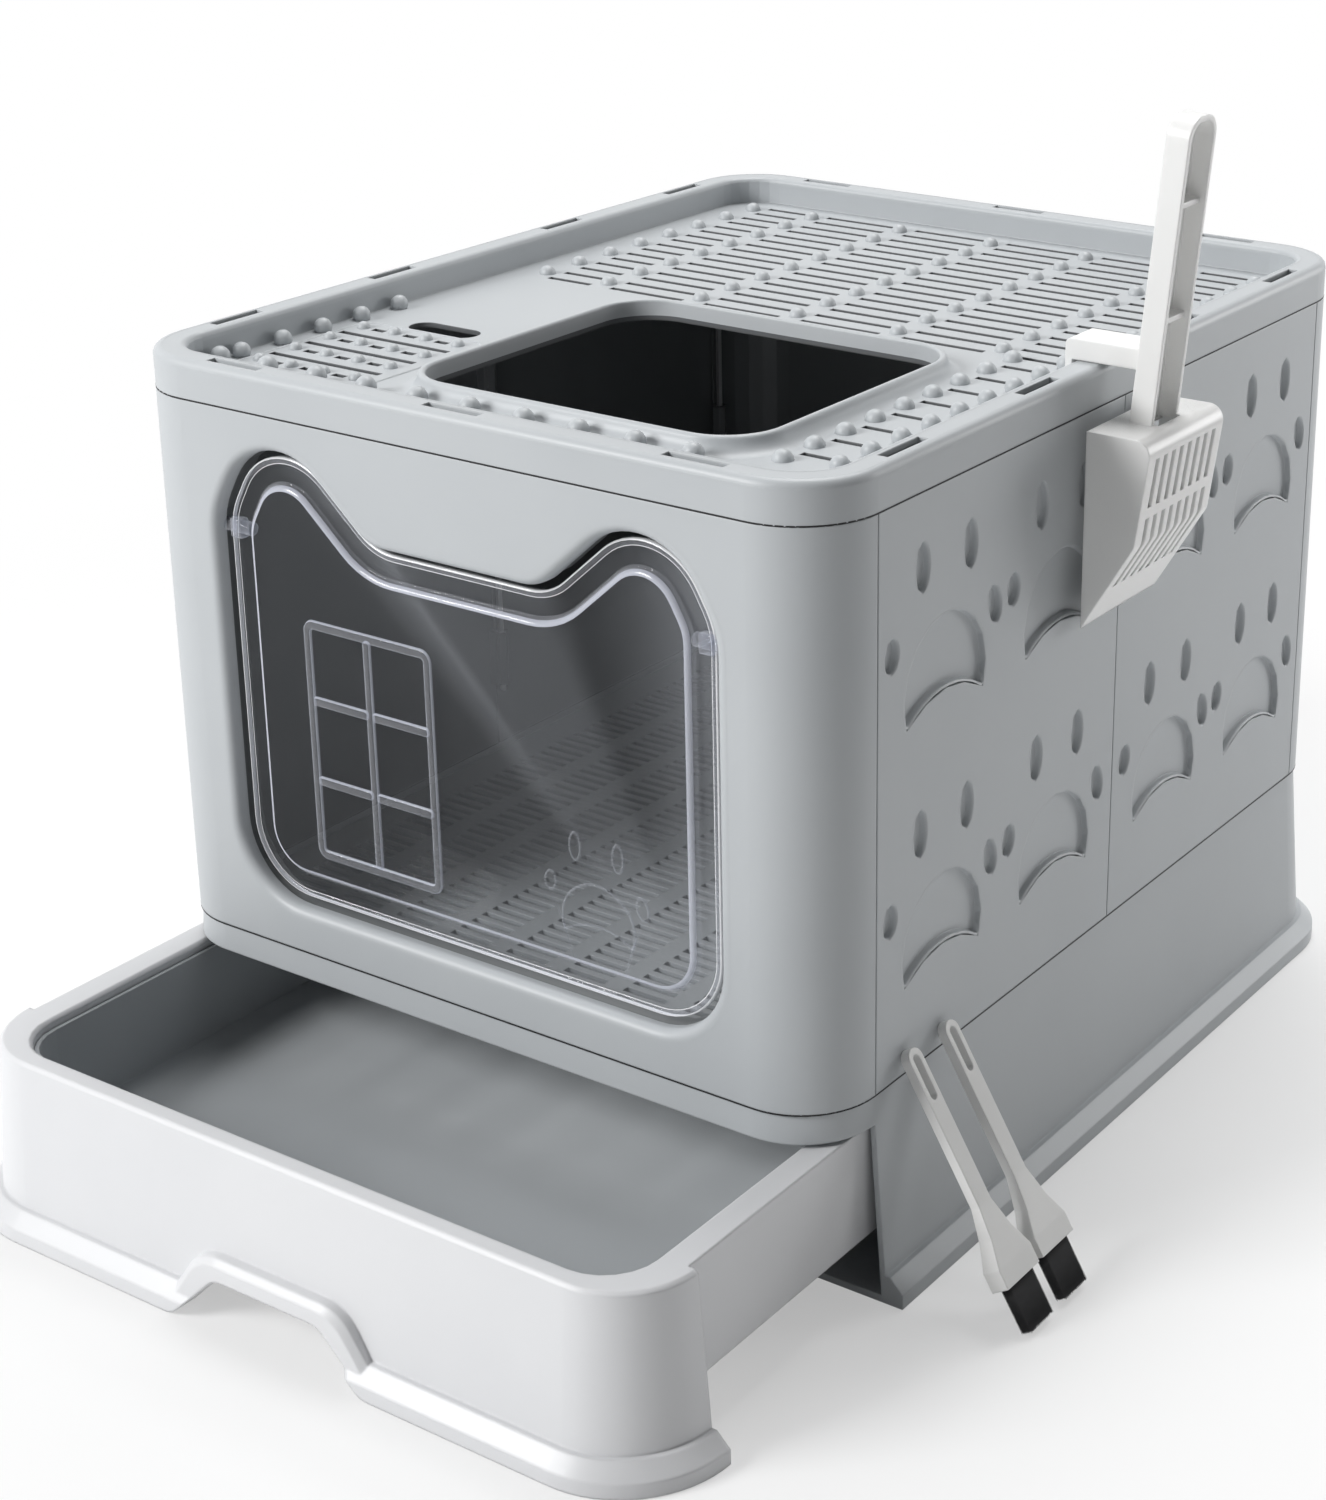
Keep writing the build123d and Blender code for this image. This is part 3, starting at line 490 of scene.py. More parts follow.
@dataclass(frozen=True)
class Outline:
    """Anticlockwise flat outline with rounded corners."""

    corners: tuple[Corner, ...]

    @classmethod
    def rectangle(cls, left: float, low: float, right: float, high: float, radius: float) -> "Outline":
        """Outline of an upright rectangle.

        Args:
            left: least X.
            low: least Y.
            right: greatest X.
            high: greatest Y.
            radius: radius of its corners.

        Returns:
            The outline.
        """
        return cls((Corner(right, low, radius), Corner(right, high, radius), Corner(left, high, radius),
                    Corner(left, low, radius)))

    def bend(self, index: int) -> tuple[Vector, Vector, Vector]:
        """A corner's point and the ways into it and out of it."""
        here, before, after = (Vector((self.corners[k % len(self.corners)].x, self.corners[k % len(self.corners)].y))
                               for k in (index, index - 1, index + 1))
        return here, (here - before).normalized(), (after - here).normalized()

    def moved(self, inset: float) -> "Outline":
        """Moves every edge in by a distance, or out by one below zero.

        Args:
            inset: the distance.

        Returns:
            The new outline, with its bends on the same centres.
        """
        made = []
        for index, corner in enumerate(self.corners):
            here, ahead, onward = self.bend(index)
            inward = Vector((-ahead.y - onward.y, ahead.x + onward.x)) / (1 + ahead.dot(onward))
            spot = here + inward * inset
            radius = corner.radius - inset if ahead.cross(onward) > 0 else corner.radius + inset
            made.append(Corner(spot.x, spot.y, max(radius, 0.5)))
        return Outline(tuple(made))


Step = tuple[float, float]
Section = tuple[Step, ...]


def arc(radius: float, start: float, end: float, count: int) -> list[Step]:
    """Steps along an arc of a section, as run and rise.

    Args:
        radius: the arc's radius.
        start: slope at its start, in degrees.
        end: slope at its end, in degrees.
        count: number of steps.

    Returns:
        Run and rise of each step.
    """
    way = radius if end > start else -radius
    slopes = [math.radians(start + (end - start) * k / count) for k in range(count + 1)]
    return [(way * (math.sin(b) - math.sin(a)), way * (math.cos(a) - math.cos(b)))
            for a, b in zip(slopes[:-1], slopes[1:])]


class Former:
    """A mesh under way and the steps that several pieces share."""

    arc_step = 7.5

    def __init__(self) -> None:
        """Starts an empty mesh."""
        self.mesh = bmesh.new()

    def face(self, outline: Outline, place: Matrix) -> bmesh.types.BMFace:
        """Makes a flat face: each corner's arc is spun, then the arcs are joined and filled.

        Args:
            outline: the face's outline.
            place: where the outline's plane stands; millimetres become metres here.

        Returns:
            The face, with its normal along the plane's Z.
        """
        old = set(self.mesh.edges)
        ends = []
        for index, corner in enumerate(outline.corners):
            here, ahead, onward = outline.bend(index)
            turn = ahead.angle(onward)
            side = 1 if ahead.cross(onward) > 0 else -1
            first = here - ahead * corner.radius * math.tan(turn / 2)
            centre = first + Vector((-ahead.y, ahead.x)) * side * corner.radius
            vert = bmesh.ops.create_vert(self.mesh, co=first.to_3d())["vert"][0]
            steps = max(2, round(math.degrees(turn) / self.arc_step))
            spun = bmesh.ops.spin(self.mesh, geom=[vert], cent=centre.to_3d(), axis=(0, 0, 1), angle=side * turn,
                                  steps=steps)
            ends.append((vert, next(g for g in spun["geom_last"] if isinstance(g, bmesh.types.BMVert))))
        for before, after in zip(ends, ends[1:] + ends[:1]):
            bmesh.ops.contextual_create(self.mesh, geom=[before[1], after[0]])
        edges = [edge for edge in self.mesh.edges if edge not in old]
        made = bmesh.ops.edgeloop_fill(self.mesh, edges=edges)["faces"][0]
        made.normal_update()
        if made.normal.z < 0:
            made.normal_flip()
        bmesh.ops.transform(self.mesh, matrix=place @ Matrix.Scale(MM, 4), verts=made.verts)
        made.normal_update()
        return made

    def relief(self, face: bmesh.types.BMFace, steps: Iterable[Step], material: int = 0,
               open_middle: bool = False) -> bmesh.types.BMFace:
        """Works a section into a face, from its edge towards its middle.

        Args:
            face: the face.
            steps: run and rise of each step of the section.
            material: material number of the rings.
            open_middle: whether the middle is taken out at the end.

        Returns:
            The face that is left in the middle.
        """
        for run, rise in steps:
            rings = bmesh.ops.inset_region(self.mesh, faces=[face], thickness=max(run, 0.001) * MM, depth=rise * MM,
                                           use_boundary=True, use_even_offset=True)
            for ring in rings["faces"]:
                ring.material_index = material
        if open_middle:
            bmesh.ops.delete(self.mesh, geom=[face], context="FACES")
        return face

    def piece(self, name: str, body: Body, slot: Slot, *materials: bpy.types.Material,
              smooth: bool = True, closed: bool = True) -> bpy.types.Object:
        """Turns the mesh into an object that rides on a body.

        Args:
            name: the piece's name.
            body: the body that carries it.
            slot: the record's slot for its finish; not used.
            materials: its materials, by face index.
            smooth: whether faces are shaded smooth.
            closed: whether the mesh is closed, so that its normals can be worked out again.

        Returns:
            The new object.
        """
        if closed:
            bmesh.ops.recalc_face_normals(self.mesh, faces=self.mesh.faces)
        for face in self.mesh.faces:
            face.smooth = smooth
        data = bpy.data.meshes.new(name)
        self.mesh.to_mesh(data)
        self.mesh.free()
        made = bpy.data.objects.new(name, data)
        bpy.context.scene.collection.objects.link(made)
        for material in materials:
            data.materials.append(material)
        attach(made, body.value)
        log.info("piece %s on %s: %d faces", name, body.value, len(data.polygons))
        return made


SEAM_PROUD = 0.06
SEAM_TALL = 0.8


def seam_shadow_line(name: str, plan: Outline, height: float, body: Body, finish: bpy.types.Material) -> None:
    """Draws a near-black ring as painted shadow where two stacked pieces meet.

    Args:
        name: the piece's name.
        plan: outer plan of the stacked pieces.
        height: height of the gap's middle, in millimetres.
        body: the body that carries it.
        finish: its finish.
    """
    former = Former()
    ring = former.face(plan.moved(-SEAM_PROUD), Matrix.Translation((0, 0, (height - SEAM_TALL / 2) * MM)))
    former.relief(ring, [(0.0, SEAM_TALL)], open_middle=True)
    former.piece(name, body, Slot.BODY, finish, closed=False)


def dress(node: str, material: bpy.types.Material) -> None:
    """Gives a CAD node its finish.

    Args:
        node: the node's name.
        material: the finish.
    """
    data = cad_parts[node].data
    data.materials.clear()
    data.materials.append(material)
    log.info("node %s wears %s", node, material.name)


@dataclass(frozen=True)
class PawPrint:
    """Pad and toes of a paw print, in millimetres from the middle of the pad's foot."""

    pad: Outline = Outline((Corner(30.0, 0.0, 2.0), Corner(38.24, 22.38, 28.5), Corner(0.0, 50.92, 31.9),
                            Corner(-38.24, 22.38, 28.5), Corner(-30.0, 0.0, 2.0), Corner(0.0, 19.8, 50.0)))
    toes: tuple[tuple[float, float, float, float], ...] = ((-41.4, 36.1, 8.1, 6.0), (-18.6, 67.5, 11.4, 0.0),
                                                           (18.6, 67.1, 11.4, 0.0), (39.0, 34.4, 9.6, -14.0))
    toe_wide: float = 5.7
    toe_sides: int = 24

    def rims(self, former: Former, place: Matrix, section: Section, grow: float = 0.0) -> None:
        """Works a section into the edges of the pad and toes and opens their middles.

        Args:
            former: the mesh under way.
            place: where the print's plane stands, and its scale.
            section: run and rise of each step from the edge inwards.
            grow: how far the edges move out first.
        """
        former.relief(former.face(self.pad.moved(-grow), place), section, open_middle=True)
        outward = place.to_3x3() @ Vector((0, 0, 1))
        for x, y, tall, tilt in self.toes:
            turn = Matrix.Translation((x * MM, y * MM, 0)) @ Matrix.Rotation(math.radians(-tilt), 4, "Z")
            oval = Matrix.Diagonal(((self.toe_wide + grow) * MM, (tall + grow) * MM, MM, 1.0))
            verts = bmesh.ops.create_circle(former.mesh, cap_ends=True, segments=self.toe_sides, radius=1.0,
                                            matrix=place @ turn @ oval)["verts"]
            toe = next(iter(set.intersection(*(set(vert.link_faces) for vert in verts))))
            toe.normal_update()
            if toe.normal.dot(outward) < 0:
                toe.normal_flip()
            former.relief(toe, section, open_middle=True)


DOORWAY = Outline((Corner(139.0, 121.0, 38.0), Corner(139.0, 308.6, 37.8), Corner(107.6, 364.5, 36.3),
                   Corner(46.6, 310.0, 22.9), Corner(-46.6, 310.0, 22.9), Corner(-107.6, 364.5, 36.3),
                   Corner(-139.0, 308.6, 37.8), Corner(-139.0, 121.0, 38.0)))
PLAN = Outline.rectangle(-191.0, -238.7, 191.0, 238.7, 37.3)
FACING_FRONT = Matrix.Rotation(math.radians(90.0), 4, "X")


@dataclass
class Housing:
    """Base, finely slotted sieve floor, folding walls and fold pins, with a soft roll round the doorway."""

    finishes: Finishes
    wall_nodes: tuple[str, ...] = ("front_panel", "rear_panel", "left_front_panel", "left_rear_panel",
                                   "right_front_panel", "right_rear_panel")
    pin_sides: tuple[str, ...] = ("left", "right")
    pin_places: tuple[str, ...] = ("front", "middle", "rear")
    front: float = -238.74 * MM
    roll: float = 4.3
    land: float = 1.2
    jamb: float = 3.0
    jamb_lap: float = 0.9
    base_seam: float = 100.5
    print_rows: tuple[float, ...] = (0.1561, 0.6142)
    print_columns: tuple[float, ...] = (0.2656, 0.7423)
    half_width: float = 191.0
    panel_seam: float = 201.4
    print_rim: Section = ((0.2, 0.0), *arc(1.0, 0, -85, 4), (0.15, -1.73), *arc(0.4, -85, 0, 2))
    print_grow: float = 0.4
    print_proud: float = 0.03
    sieve_gap: float = 0.1
    grid_drop: float = 0.1
    sieve_columns: int = 10
    sieve_rows: int = 58
    sieve_border: float = 14.5
    sieve_corner: float = 32.0
    sieve_thick: float = 2.8
    slot_share: float = 0.5
    rib_share: float = 0.317

    def sieve(self) -> None:
        """Makes the sieve floor: cells of a grid are inset and opened, then the plain border goes round them."""
        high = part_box("sieve_floor")[1]
        half_x, half_y = high[0] / MM - self.sieve_gap, high[1] / MM - self.sieve_gap
        level = Matrix.Translation((0, 0, high[2]))
        former = Former()
        grid_x, grid_y = half_x - self.sieve_border, half_y - self.sieve_border
        cell_x, cell_y = (1.0 - self.slot_share) / self.rib_share, 1.0
        bmesh.ops.create_grid(former.mesh, x_segments=self.sieve_columns, y_segments=self.sieve_rows, size=0.5)
        bmesh.ops.scale(former.mesh, vec=(self.sieve_columns * cell_x, self.sieve_rows * cell_y, 1.0),
                        verts=former.mesh.verts)
        cells = former.mesh.faces[:]
        bmesh.ops.inset_individual(former.mesh, faces=cells, thickness=(1.0 - self.slot_share) / 2,
                                   use_even_offset=True)
        bmesh.ops.delete(former.mesh, geom=cells, context="FACES")
        span = Matrix.Diagonal((2 * grid_x * MM / (self.sieve_columns * cell_x),
                                2 * grid_y * MM / (self.sieve_rows * cell_y), 1.0, 1.0))
        bmesh.ops.transform(former.mesh, matrix=level @ Matrix.Translation((0, 0, -self.grid_drop * MM)) @ span,
                            verts=former.mesh.verts)
        border = former.face(Outline.rectangle(-half_x, -half_y, half_x, half_y, self.sieve_corner), level)
        former.relief(border, [(self.sieve_border, 0.0)], open_middle=True)
        plate = former.piece("sieve_plate", Body.HOUSING, Slot.BODY, self.finishes.sieve, smooth=False, closed=False)
        thick = plate.modifiers.new("thickness", "SOLIDIFY")
        thick.thickness, thick.offset = self.sieve_thick * MM, -1.0
        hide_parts("sieve_floor")

    def prints(self) -> None:
        """Softens the edges of the paw print pockets in the side walls: one print is made and copied to each place."""
        low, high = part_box("right_front_panel")
        former = Former()
        PawPrint().rims(former, Matrix(), self.print_rim, self.print_grow)
        first = former.mesh.verts[:]
        source = first + former.mesh.edges[:] + former.mesh.faces[:]
        for side in (-1, 1):
            out = side * (self.half_width + self.print_proud) * MM
            wall = Matrix(((0, 0, side, out), (side, 0, 0, 0), (0, 1, 0, 0), (0, 0, 0, 1)))
            for end, column, row in itertools.product((-1, 1), self.print_columns, self.print_rows):
                spot = (side * end * self.panel_seam * column * MM, low[2] + (high[2] - low[2]) * row, 0)
                copy = bmesh.ops.duplicate(former.mesh, geom=source)["geom"]
                bmesh.ops.transform(former.mesh, matrix=wall @ Matrix.Translation(spot),
                                    verts=[part for part in copy if isinstance(part, bmesh.types.BMVert)])
        bmesh.ops.delete(former.mesh, geom=first, context="VERTS")
        former.piece("wall_print_rims", Body.HOUSING, Slot.BODY, self.finishes.body, closed=False)

    def build(self) -> None:
        """Dresses the housing's nodes and adds the sieve, the print rims, the roll and the painted shadow line of the
        seam.
        """
        dress("base", self.finishes.body)
        for node in self.wall_nodes:
            dress(node, self.finishes.wall)
        for side in self.pin_sides:
            for place in self.pin_places:
                dress(f"fold_pin_{side}_{place}", self.finishes.pin)
        self.sieve()
        self.prints()
        # painted shadow line where the base meets the walls
        seam_shadow_line("base_seam_line", PLAN, self.base_seam, Body.HOUSING, self.finishes.seam)
        former = Former()
        edge = DOORWAY.moved(self.jamb_lap - self.roll - self.land)
        wall = former.face(edge, Matrix.Translation((0, self.front, 0)) @ FACING_FRONT)
        former.relief(wall, [(self.land, 0.0)] + arc(self.roll, 0, -90, 7) + [(0.05, -self.jamb)], open_middle=True)
        former.piece("doorway_roll", Body.HOUSING, Slot.BODY, self.finishes.body, closed=False)


@dataclass
class Drawer:
    """White drawer and its grey pan."""

    finishes: Finishes

    def build(self) -> None:
        """Dresses the drawer's nodes."""
        dress("drawer", self.finishes.drawer)
        dress("litter_pan", self.finishes.pan)


@dataclass(frozen=True)
class Domes:
    """A group of equal domes on the lid, in millimetres."""

    radius: float
    columns: tuple[float, ...]
    first: float
    pitch: float
    count: int
    lift: float = 0.0

    def places(self) -> list[tuple[float, float]]:
        """Centres of the domes."""
        return [(x, self.first + self.pitch * k) for x in self.columns for k in range(self.count)]


@dataclass
class Lid:
    """Slotted lid, with smooth domes over its bumps, a flared collar and rolled rims."""

    finishes: Finishes
    deck: float = DECK
    top: float = 377.05
    seam: float = 358.7
    sink: float = 0.2
    sides: int = 14
    rings: int = 8
    groups: tuple[Domes, ...] = (
        Domes(4.4, (-156.0, -116.0, -58.0, 0.0, 58.0, 116.0, 156.0), 20.0, 26.0, 8),
        Domes(4.8, (128.0,), -176.0, 23.0, 9),
        Domes(4.4, (156.0,), -176.0, 23.0, 9, 2.8),
        Domes(3.4, (-159.0, -139.33, -119.67, -100.0), -183.0, 23.0, 4),
        Domes(4.4, (-170.5,), -183.0, 26.7, 5, 2.4),
        Domes(4.9, tuple(-170.0 + 29.8 * k for k in range(10)), -197.0, 0.0, 1, 3.2))
    entry: Outline = Outline.rectangle(-71.0, -185.0, 114.0, -14.0, 26.0)
    field_border: Outline = Outline.rectangle(-166.5, -203.0, -88.0, -104.0, 10.0)
    field_line: Section = tuple(arc(0.7, 80, -80, 4))
    flare_reach: float = 11.1
    flare: Section = ((0.5, 0.0), *arc(7.2, 0, 75, 7), (0.24, 0.9), *arc(1.9, 75, 0, 5), (0.4, 0.0),
                      *arc(1.2, 0, -90, 5), (0.0, -4.0))
    outer_foot: float = 372.6
    outer_roll: Section = ((0.0, 0.65), *arc(3.8, 90, 0, 6), (0.6, 0.0))
    rim_width: float = 12.0
    inner_roll: Section = ((0.5, 0.0), *arc(2.5, 0, -90, 5), (0.05, -1.5))

    def level(self, height: float) -> Matrix:
        """A level plane at a height in millimetres."""
        return Matrix.Translation((0, 0, height * MM))

    def domes(self) -> None:
        """Adds a smooth dome over each bump."""
        former = Former()
        for group in self.groups:
            for x, y in group.places():
                spot = Matrix.Translation((x * MM, y * MM, (self.deck + group.lift - self.sink) * MM))
                bmesh.ops.create_uvsphere(former.mesh, u_segments=self.sides, v_segments=self.rings,
                                          radius=group.radius * MM, matrix=spot)
        geometry = former.mesh.verts[:] + former.mesh.edges[:] + former.mesh.faces[:]
        bmesh.ops.bisect_plane(former.mesh, geom=geometry, plane_co=(0, 0, (self.deck - 2 * self.sink) * MM),
                               plane_no=(0, 0, 1), clear_inner=True)
        former.piece("lid_domes", Body.LID, Slot.BODY, self.finishes.body, closed=False)

    def rolls(self) -> None:
        """Adds the collar's flare, the rolled edges of the rim and the line round the left slots."""
        former = Former()
        for plan, height, section in ((self.entry.moved(-self.flare_reach), self.deck + 0.03, self.flare),
                                      (PLAN.moved(-0.05), self.outer_foot, self.outer_roll),
                                      (PLAN.moved(self.rim_width), self.top, self.inner_roll),
                                      (self.field_border, self.deck + 0.01, self.field_line)):
            former.relief(former.face(plan, self.level(height)), section, open_middle=True)
        former.piece("lid_rolls", Body.LID, Slot.BODY, self.finishes.body, closed=False)

    def build(self) -> None:
        """Dresses the lid and adds its soft forms."""
        dress("lid", self.finishes.lid)
        self.domes()
        self.rolls()
        # painted shadow line where the lid meets the walls
        seam_shadow_line("lid_seam_line", PLAN, self.seam, Body.LID, self.finishes.seam)


@dataclass
class FlapDoor:
    """Clear cat-ear door: beaded edge, raised middle, window bars and a paw print."""

    finishes: Finishes
    plane: float = -230.0 * MM
    back: float = -1.3
    gap: float = 4.6
    axis: float = 301.0
    stub_end: float = 143.4
    # painted highlight: the plate's edge and the bead's foot wear the edge finish, a painted white outline
    plate_edge: Section = ((0.0, 2.2), *arc(0.9, 90, 0, 4))
    bead: Section = ((1.2, 0.0), *arc(0.9, 0, -80, 4))
    bead_foot: Section = ((0.35, 0.0),)
    border: Section = ((7.6, 0.0), (0.3, 0.0))
    step_foot: Section = tuple(arc(1.6, 0, 70, 4))
    # painted highlight: the step's crown wears the bevel finish, a painted lilac band
    step_crown: Section = tuple(arc(2.6, 70, 0, 5))
    middle: Section = ((0.4, 0.0),)
    raised: float = 2.55
    window: Outline = Outline.rectangle(-93.0, 149.0, -18.0, 266.0, 6.0)
    bar: float = 4.6
    bar_round: float = 1.5
    bar_steep: float = 85.0
    bar_shoulder: float = 35.0
    bar_end: float = 0.9
    bar_tuck: float = 0.7
    paw_x: float = 70.0
    paw_low: float = 152.0
    paw_share: float = 0.62
    paw_bead: Section = tuple(arc(0.7, 80, -45, 5))
    stub_radius: float = 3.2
    stub_length: float = 21.0
    stub_bevel: float = 0.7
    lug: Triple = (7.0, 5.0, 9.0)
    lug_inset: float = 13.5
    lug_front: float = 1.2

    def level(self, height: float) -> Matrix:
        """A plane parallel to the door, at a height in front of its middle."""
        return Matrix.Translation((0, self.plane - height * MM, 0)) @ FACING_FRONT

    def plate(self) -> None:
        """Makes the plate: back, edge, bead, flat and raised middle."""
        former = Former()
        front = former.face(DOORWAY.moved(self.gap), self.level(self.back))
        rear = former.face(DOORWAY.moved(self.gap), self.level(self.back))
        rear.normal_flip()
        for section, finish in ((self.plate_edge, DoorFace.EDGE), (self.bead, DoorFace.RIDGE),
                                (self.bead_foot, DoorFace.EDGE), (self.border, DoorFace.CLEAR),
                                (self.step_foot, DoorFace.RIDGE), (self.step_crown, DoorFace.BEVEL),
                                (self.middle, DoorFace.CLEAR)):
            former.relief(front, section, finish.value)
        bmesh.ops.remove_doubles(former.mesh, verts=former.mesh.verts, dist=1e-6)
        plate = former.piece("door_plate", Body.DOOR, Slot.DOOR, self.finishes.plate, self.finishes.ridge,
                             self.finishes.edge, self.finishes.bevel)
        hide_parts("flap_door")

    def window_bars(self) -> None:
        """Makes the window's rounded frame and bars."""
        former = Former()
        steep, shoulder, level = self.bar_steep, self.bar_shoulder, self.level(self.raised)
        # painted highlight: flank steps wear the bevel finish, painting a highlight line along each side of every bar
        flank, crown = arc(self.bar_round, steep, shoulder, 3), arc(self.bar_round, shoulder, 0, 2)
        ring = former.face(self.window, level)
        former.relief(ring, flank, BarFace.FLANK.value)
        former.relief(ring, crown + [(self.bar - 2 * self.bar_round, 0.0)] + arc(self.bar_round, 0, -shoulder, 2))
        former.relief(ring, arc(self.bar_round, -shoulder, -steep, 3), BarFace.FLANK.value, open_middle=True)
        left, right = self.window.corners[2].x, self.window.corners[0].x
        low, high = self.window.corners[0].y, self.window.corners[1].y
        middle, half, tuck = (left + right) / 2, self.bar / 2, self.bar * self.bar_tuck
        end = half * self.bar_end
        posts = [Outline.rectangle(middle - half, low + tuck, middle + half, high - tuck, end)]
        for share in (1 / 3, 2 / 3):
            height = low + (high - low) * share
            posts += [Outline.rectangle(a, height - half, b, height + half, end)
                      for a, b in ((left + tuck, middle - half / 2), (middle + half / 2, right - tuck))]
        for post in posts:
            bar = former.face(post, level)
            former.relief(bar, flank, BarFace.FLANK.value)
            former.relief(bar, crown)
        former.piece("door_window", Body.DOOR, Slot.DOOR, self.finishes.ridge, self.finishes.bevel, closed=False)

    def paw(self) -> None:
        """Makes the raised outline of the paw print."""
        former = Former()
        spot = self.level(self.raised) @ Matrix.Translation((self.paw_x * MM, self.paw_low * MM, 0))
        PawPrint().rims(former, spot @ Matrix.Scale(self.paw_share, 4), self.paw_bead)
        former.piece("door_paw", Body.DOOR, Slot.DOOR, self.finishes.ridge, closed=False)

    def stubs(self) -> None:
        """Makes the two hinge stubs and the lugs that carry them."""
        former = Former()
        across = Matrix.Rotation(math.radians(90.0), 4, "Y")
        lug_size = Matrix.Diagonal((*(length * MM for length in self.lug), 1.0))
        for side in (-1, 1):
            stub = Vector((side * (self.stub_end - self.stub_length / 2) * MM, self.plane, self.axis * MM))
            lug = Vector((side * (self.stub_end - self.lug_inset) * MM, self.plane - self.lug_front * MM,
                          self.axis * MM))
            bmesh.ops.create_cone(former.mesh, cap_ends=True, segments=24, radius1=self.stub_radius * MM,
                                  radius2=self.stub_radius * MM, depth=self.stub_length * MM,
                                  matrix=Matrix.Translation(stub) @ across)
            bmesh.ops.create_cube(former.mesh, size=1.0, matrix=Matrix.Translation(lug) @ lug_size)
        sharp = [edge for edge in former.mesh.edges if edge.calc_face_angle(0.0) > 1.0]
        bmesh.ops.bevel(former.mesh, geom=sharp, offset=self.stub_bevel * MM, segments=3, profile=0.5,
                        affect="EDGES", material=-1)
        former.piece("door_stubs", Body.DOOR, Slot.DOOR, self.finishes.ridge)

    def build(self) -> None:
        """Builds the whole door."""
        self.plate()
        self.window_bars()
        self.paw()
        self.stubs()


@dataclass
class Scoop:
    """Slotted scoop that hangs on the lid's rim."""

    finishes: Finishes

    def build(self) -> None:
        """Dresses the scoop."""
        dress("scoop", self.finishes.scoop)


@dataclass
class Brush:
    """Cleaning brush with a full tuft of strands."""

    finishes: Finishes
    index: int
    place: float
    body: Body
    lean: float = math.radians(31.0)
    foot_x: float = 260.226 * MM
    foot_z: float = 1.845 * MM
    tuft_width: float = 19.0 * MM
    tuft_thick: float = 6.0 * MM
    length: float = 22.0 * MM
    root: float = 2.6 * MM
    columns: int = 46
    rows: int = 11
    strand: float = 0.17 * MM
    strand_taper: float = 0.6
    uneven: float = 0.035
    splay: float = 0.004

    def build(self) -> None:
        """Dresses the handle and replaces the strands by a fuller tuft."""
        dress(f"brush_{self.index}_handle", self.finishes.brush)
        former = Former()
        draw = random.Random(self.index)
        turn = Matrix.Translation((self.foot_x, self.place, self.foot_z)) @ Matrix.Rotation(-self.lean, 4, "Y")
        for column in range(self.columns):
            for row in range(self.rows):
                across = (column / (self.columns - 1) - 0.5) * (self.tuft_width - 4 * self.strand)
                deep = (row / (self.rows - 1) - 0.5) * (self.tuft_thick - 4 * self.strand)
                low = draw.uniform(0.0, self.uneven) * self.length
                span = self.length + self.root - low
                lean = Matrix.Rotation(draw.uniform(-self.splay, self.splay), 4, "X")
                spot = turn @ Matrix.Translation((deep, across, low + span / 2)) @ lean
                bmesh.ops.create_cone(former.mesh, cap_ends=True, segments=4, radius2=self.strand, depth=span,
                                      radius1=self.strand * self.strand_taper, matrix=spot)
        tuft = former.piece(f"brush_{self.index}_tuft", self.body, Slot.BRISTLE, self.finishes.bristle)
        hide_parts(f"brush_{self.index}_bristles")


@dataclass(frozen=True)
class Lamp:
    """A soft square lamp, in metres and watts."""

    name: str
    place: Triple
    aim: Triple
    size: float
    power: float

    def build(self) -> None:
        """Hangs the lamp and turns it to the point that it faces."""
        data = bpy.data.lights.new(self.name, "AREA")
        data.shape, data.size, data.energy = "SQUARE", self.size, self.power
        made = bpy.data.objects.new(self.name, data)
        facing = (Vector(self.aim) - Vector(self.place)).to_track_quat("-Z", "Y")
        made.matrix_world = Matrix.Translation(self.place) @ facing.to_matrix().to_4x4()
        bpy.context.scene.collection.objects.link(made)


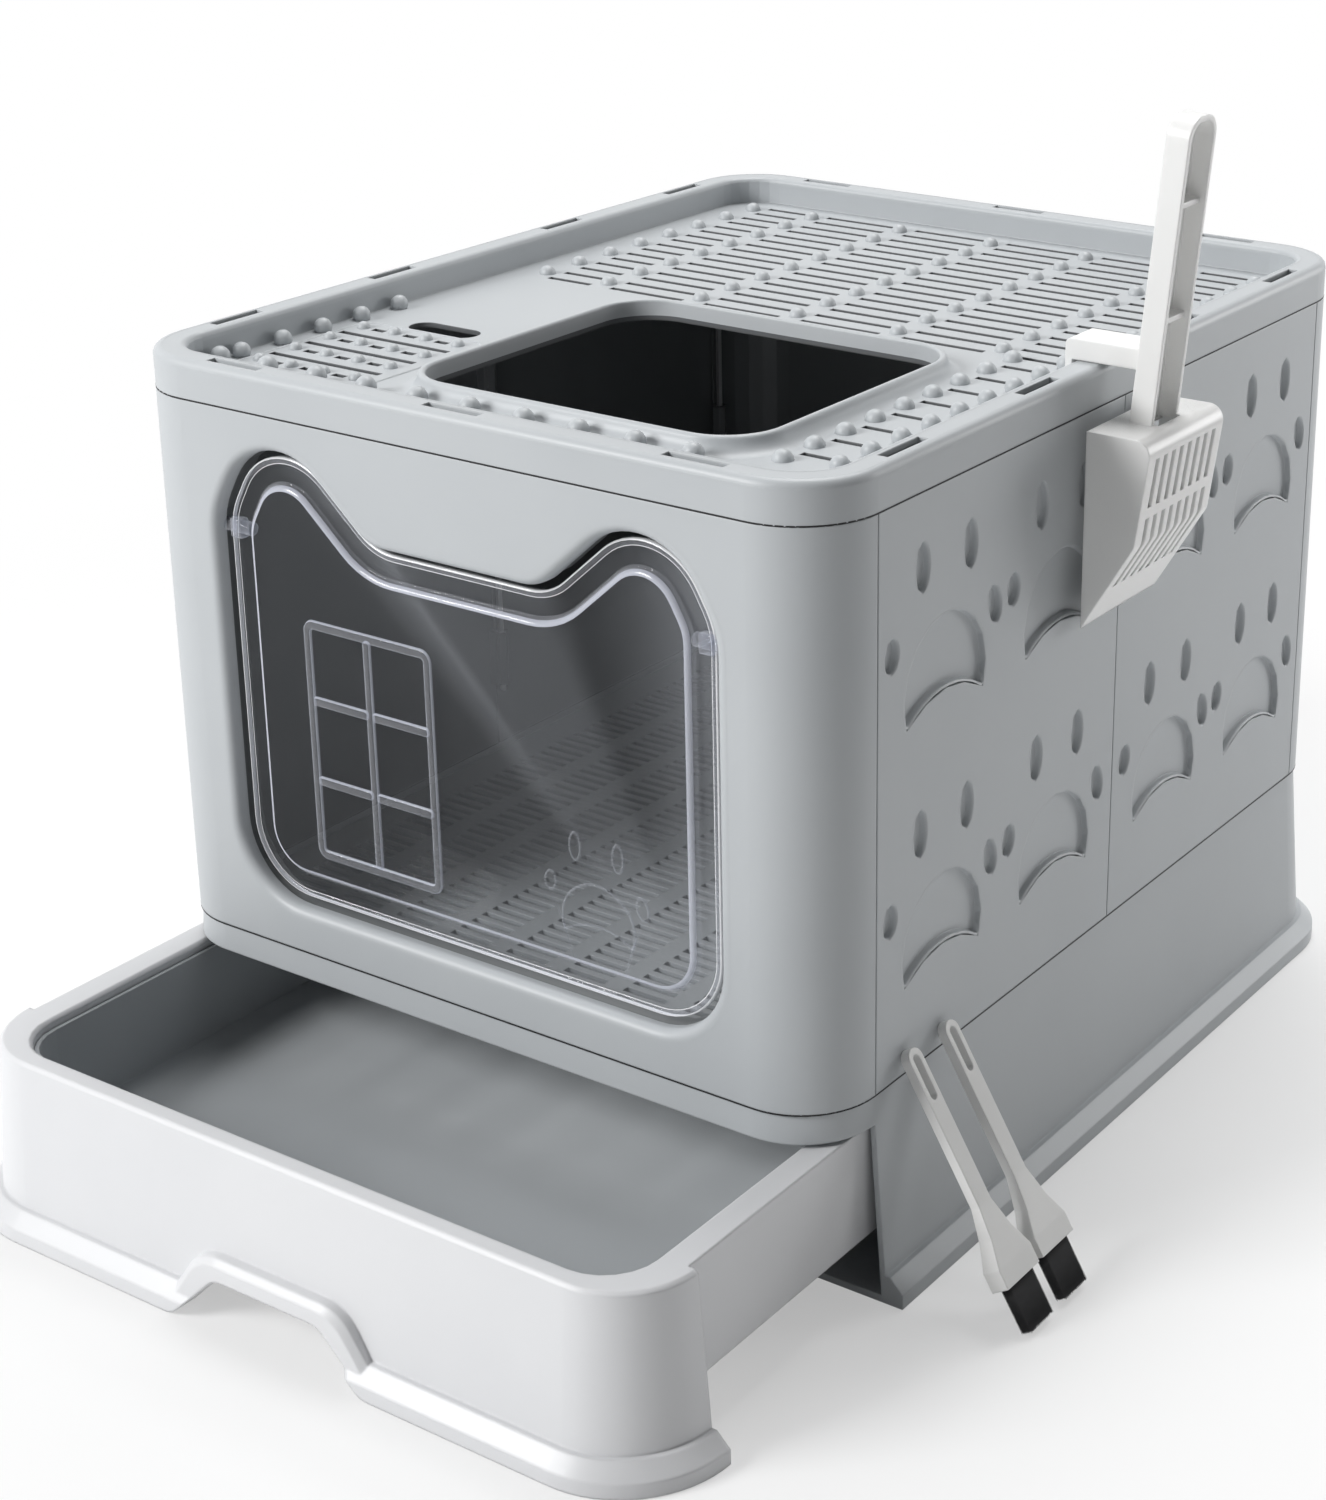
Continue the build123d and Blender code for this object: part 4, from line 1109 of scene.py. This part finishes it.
@dataclass
class Studio:
    """Pale floor, soft lamps and the camera."""

    eye: Vector = field(default_factory=lambda: Vector((0.755873, -1.072073, 0.704708)))
    right: Vector = field(default_factory=lambda: Vector((0.83284959, 0.55349813, 0.00116946)))
    up: Vector = field(default_factory=lambda: Vector((-0.1924975, 0.28766907, 0.93818506)))
    lens: float = 67.4622
    shift_x: float = -0.124667
    shift_y: float = -0.098476
    ambient: float = 0.08
    floor_half: float = 6.0
    floor_drop: float = 0.5 * MM
    floor_tone: Colour = (0.86, 0.86, 0.86)
    white: Colour = (1.0, 1.0, 1.0)
    white_near: float = 0.2
    white_rise: float = 0.8
    lamps: tuple[Lamp, ...] = (Lamp("key", (-1.5, -2.5, 1.8), (0.0, 0.0, 0.2), 1.3, 100.0),
                               Lamp("top", (-0.3, 1.0, 2.8), (0.0, 0.0, 0.2), 1.6, 60.0),
                               Lamp("side", (0.75, 0.95, 0.5), (0.2, 0.15, 0.2), 0.5, 4.6))

    def camera(self) -> None:
        """Sets the camera at the photograph's viewing angle."""
        data = bpy.data.cameras.new("camera")
        data.lens, data.sensor_width = self.lens, 36.0
        data.shift_x, data.shift_y = self.shift_x, self.shift_y
        made = bpy.data.objects.new("camera", data)
        back = self.right.cross(self.up)
        turn = Matrix((self.right, self.up, back)).transposed().to_4x4()
        made.matrix_world = Matrix.Translation(self.eye) @ turn
        bpy.context.scene.collection.objects.link(made)
        bpy.context.scene.camera = made

    def world(self) -> None:
        """Soft light all round, white as a background."""
        desk = Desk(bpy.data.worlds.new("studio_world"))
        level = desk.backdrop_rays() * (1.0 - self.ambient) + self.ambient
        glow = desk.node("ShaderNodeBackground", None, {"Color": self.white, "Strength": level})
        bpy.context.scene.world = desk.done(glow)

    def floor(self) -> None:
        """Lays a wide pale floor that turns white away from the object."""
        mesh = bmesh.new()
        bmesh.ops.create_grid(mesh, x_segments=1, y_segments=1, size=self.floor_half)
        data = bpy.data.meshes.new("floor")
        mesh.to_mesh(data)
        mesh.free()
        made = bpy.data.objects.new("floor", data)
        made.location = (0.0, 0.0, -self.floor_drop)
        bpy.context.scene.collection.objects.link(made)
        desk = Desk.material("floor_pale")
        away = desk.node("ShaderNodeVectorMath", {"operation": "LENGTH"}, {0: desk.coords()}, "Value")
        white_share = desk.backdrop_rays() * (away * self.white_rise + self.white_near).clamp()
        matt = desk.node("ShaderNodeBsdfDiffuse", None, {"Color": self.floor_tone})
        white = desk.node("ShaderNodeEmission", None, {"Color": self.white, "Strength": 1.0})
        data.materials.append(desk.done(desk.node("ShaderNodeMixShader", None, {0: white_share, 1: matt, 2: white})))

    def build(self) -> None:
        """Sets up the whole studio."""
        self.camera()
        self.world()
        self.floor()
        for lamp in self.lamps:
            lamp.build()


def main() -> None:
    """Builds the litter box and its studio."""
    logging.basicConfig(level=logging.INFO, format="%(name)s: %(message)s")
    bpy.context.scene.view_settings.view_transform = "Standard"
    finishes = Finishes()
    for assembly in (Housing(finishes), Drawer(finishes), Lid(finishes), FlapDoor(finishes), Scoop(finishes),
                     Brush(finishes, 1, -180.0 * MM, Body.BRUSH_1), Brush(finishes, 2, -150.5 * MM, Body.BRUSH_2),
                     Studio()):
        assembly.build()


if __name__ == "__main__":
    main()
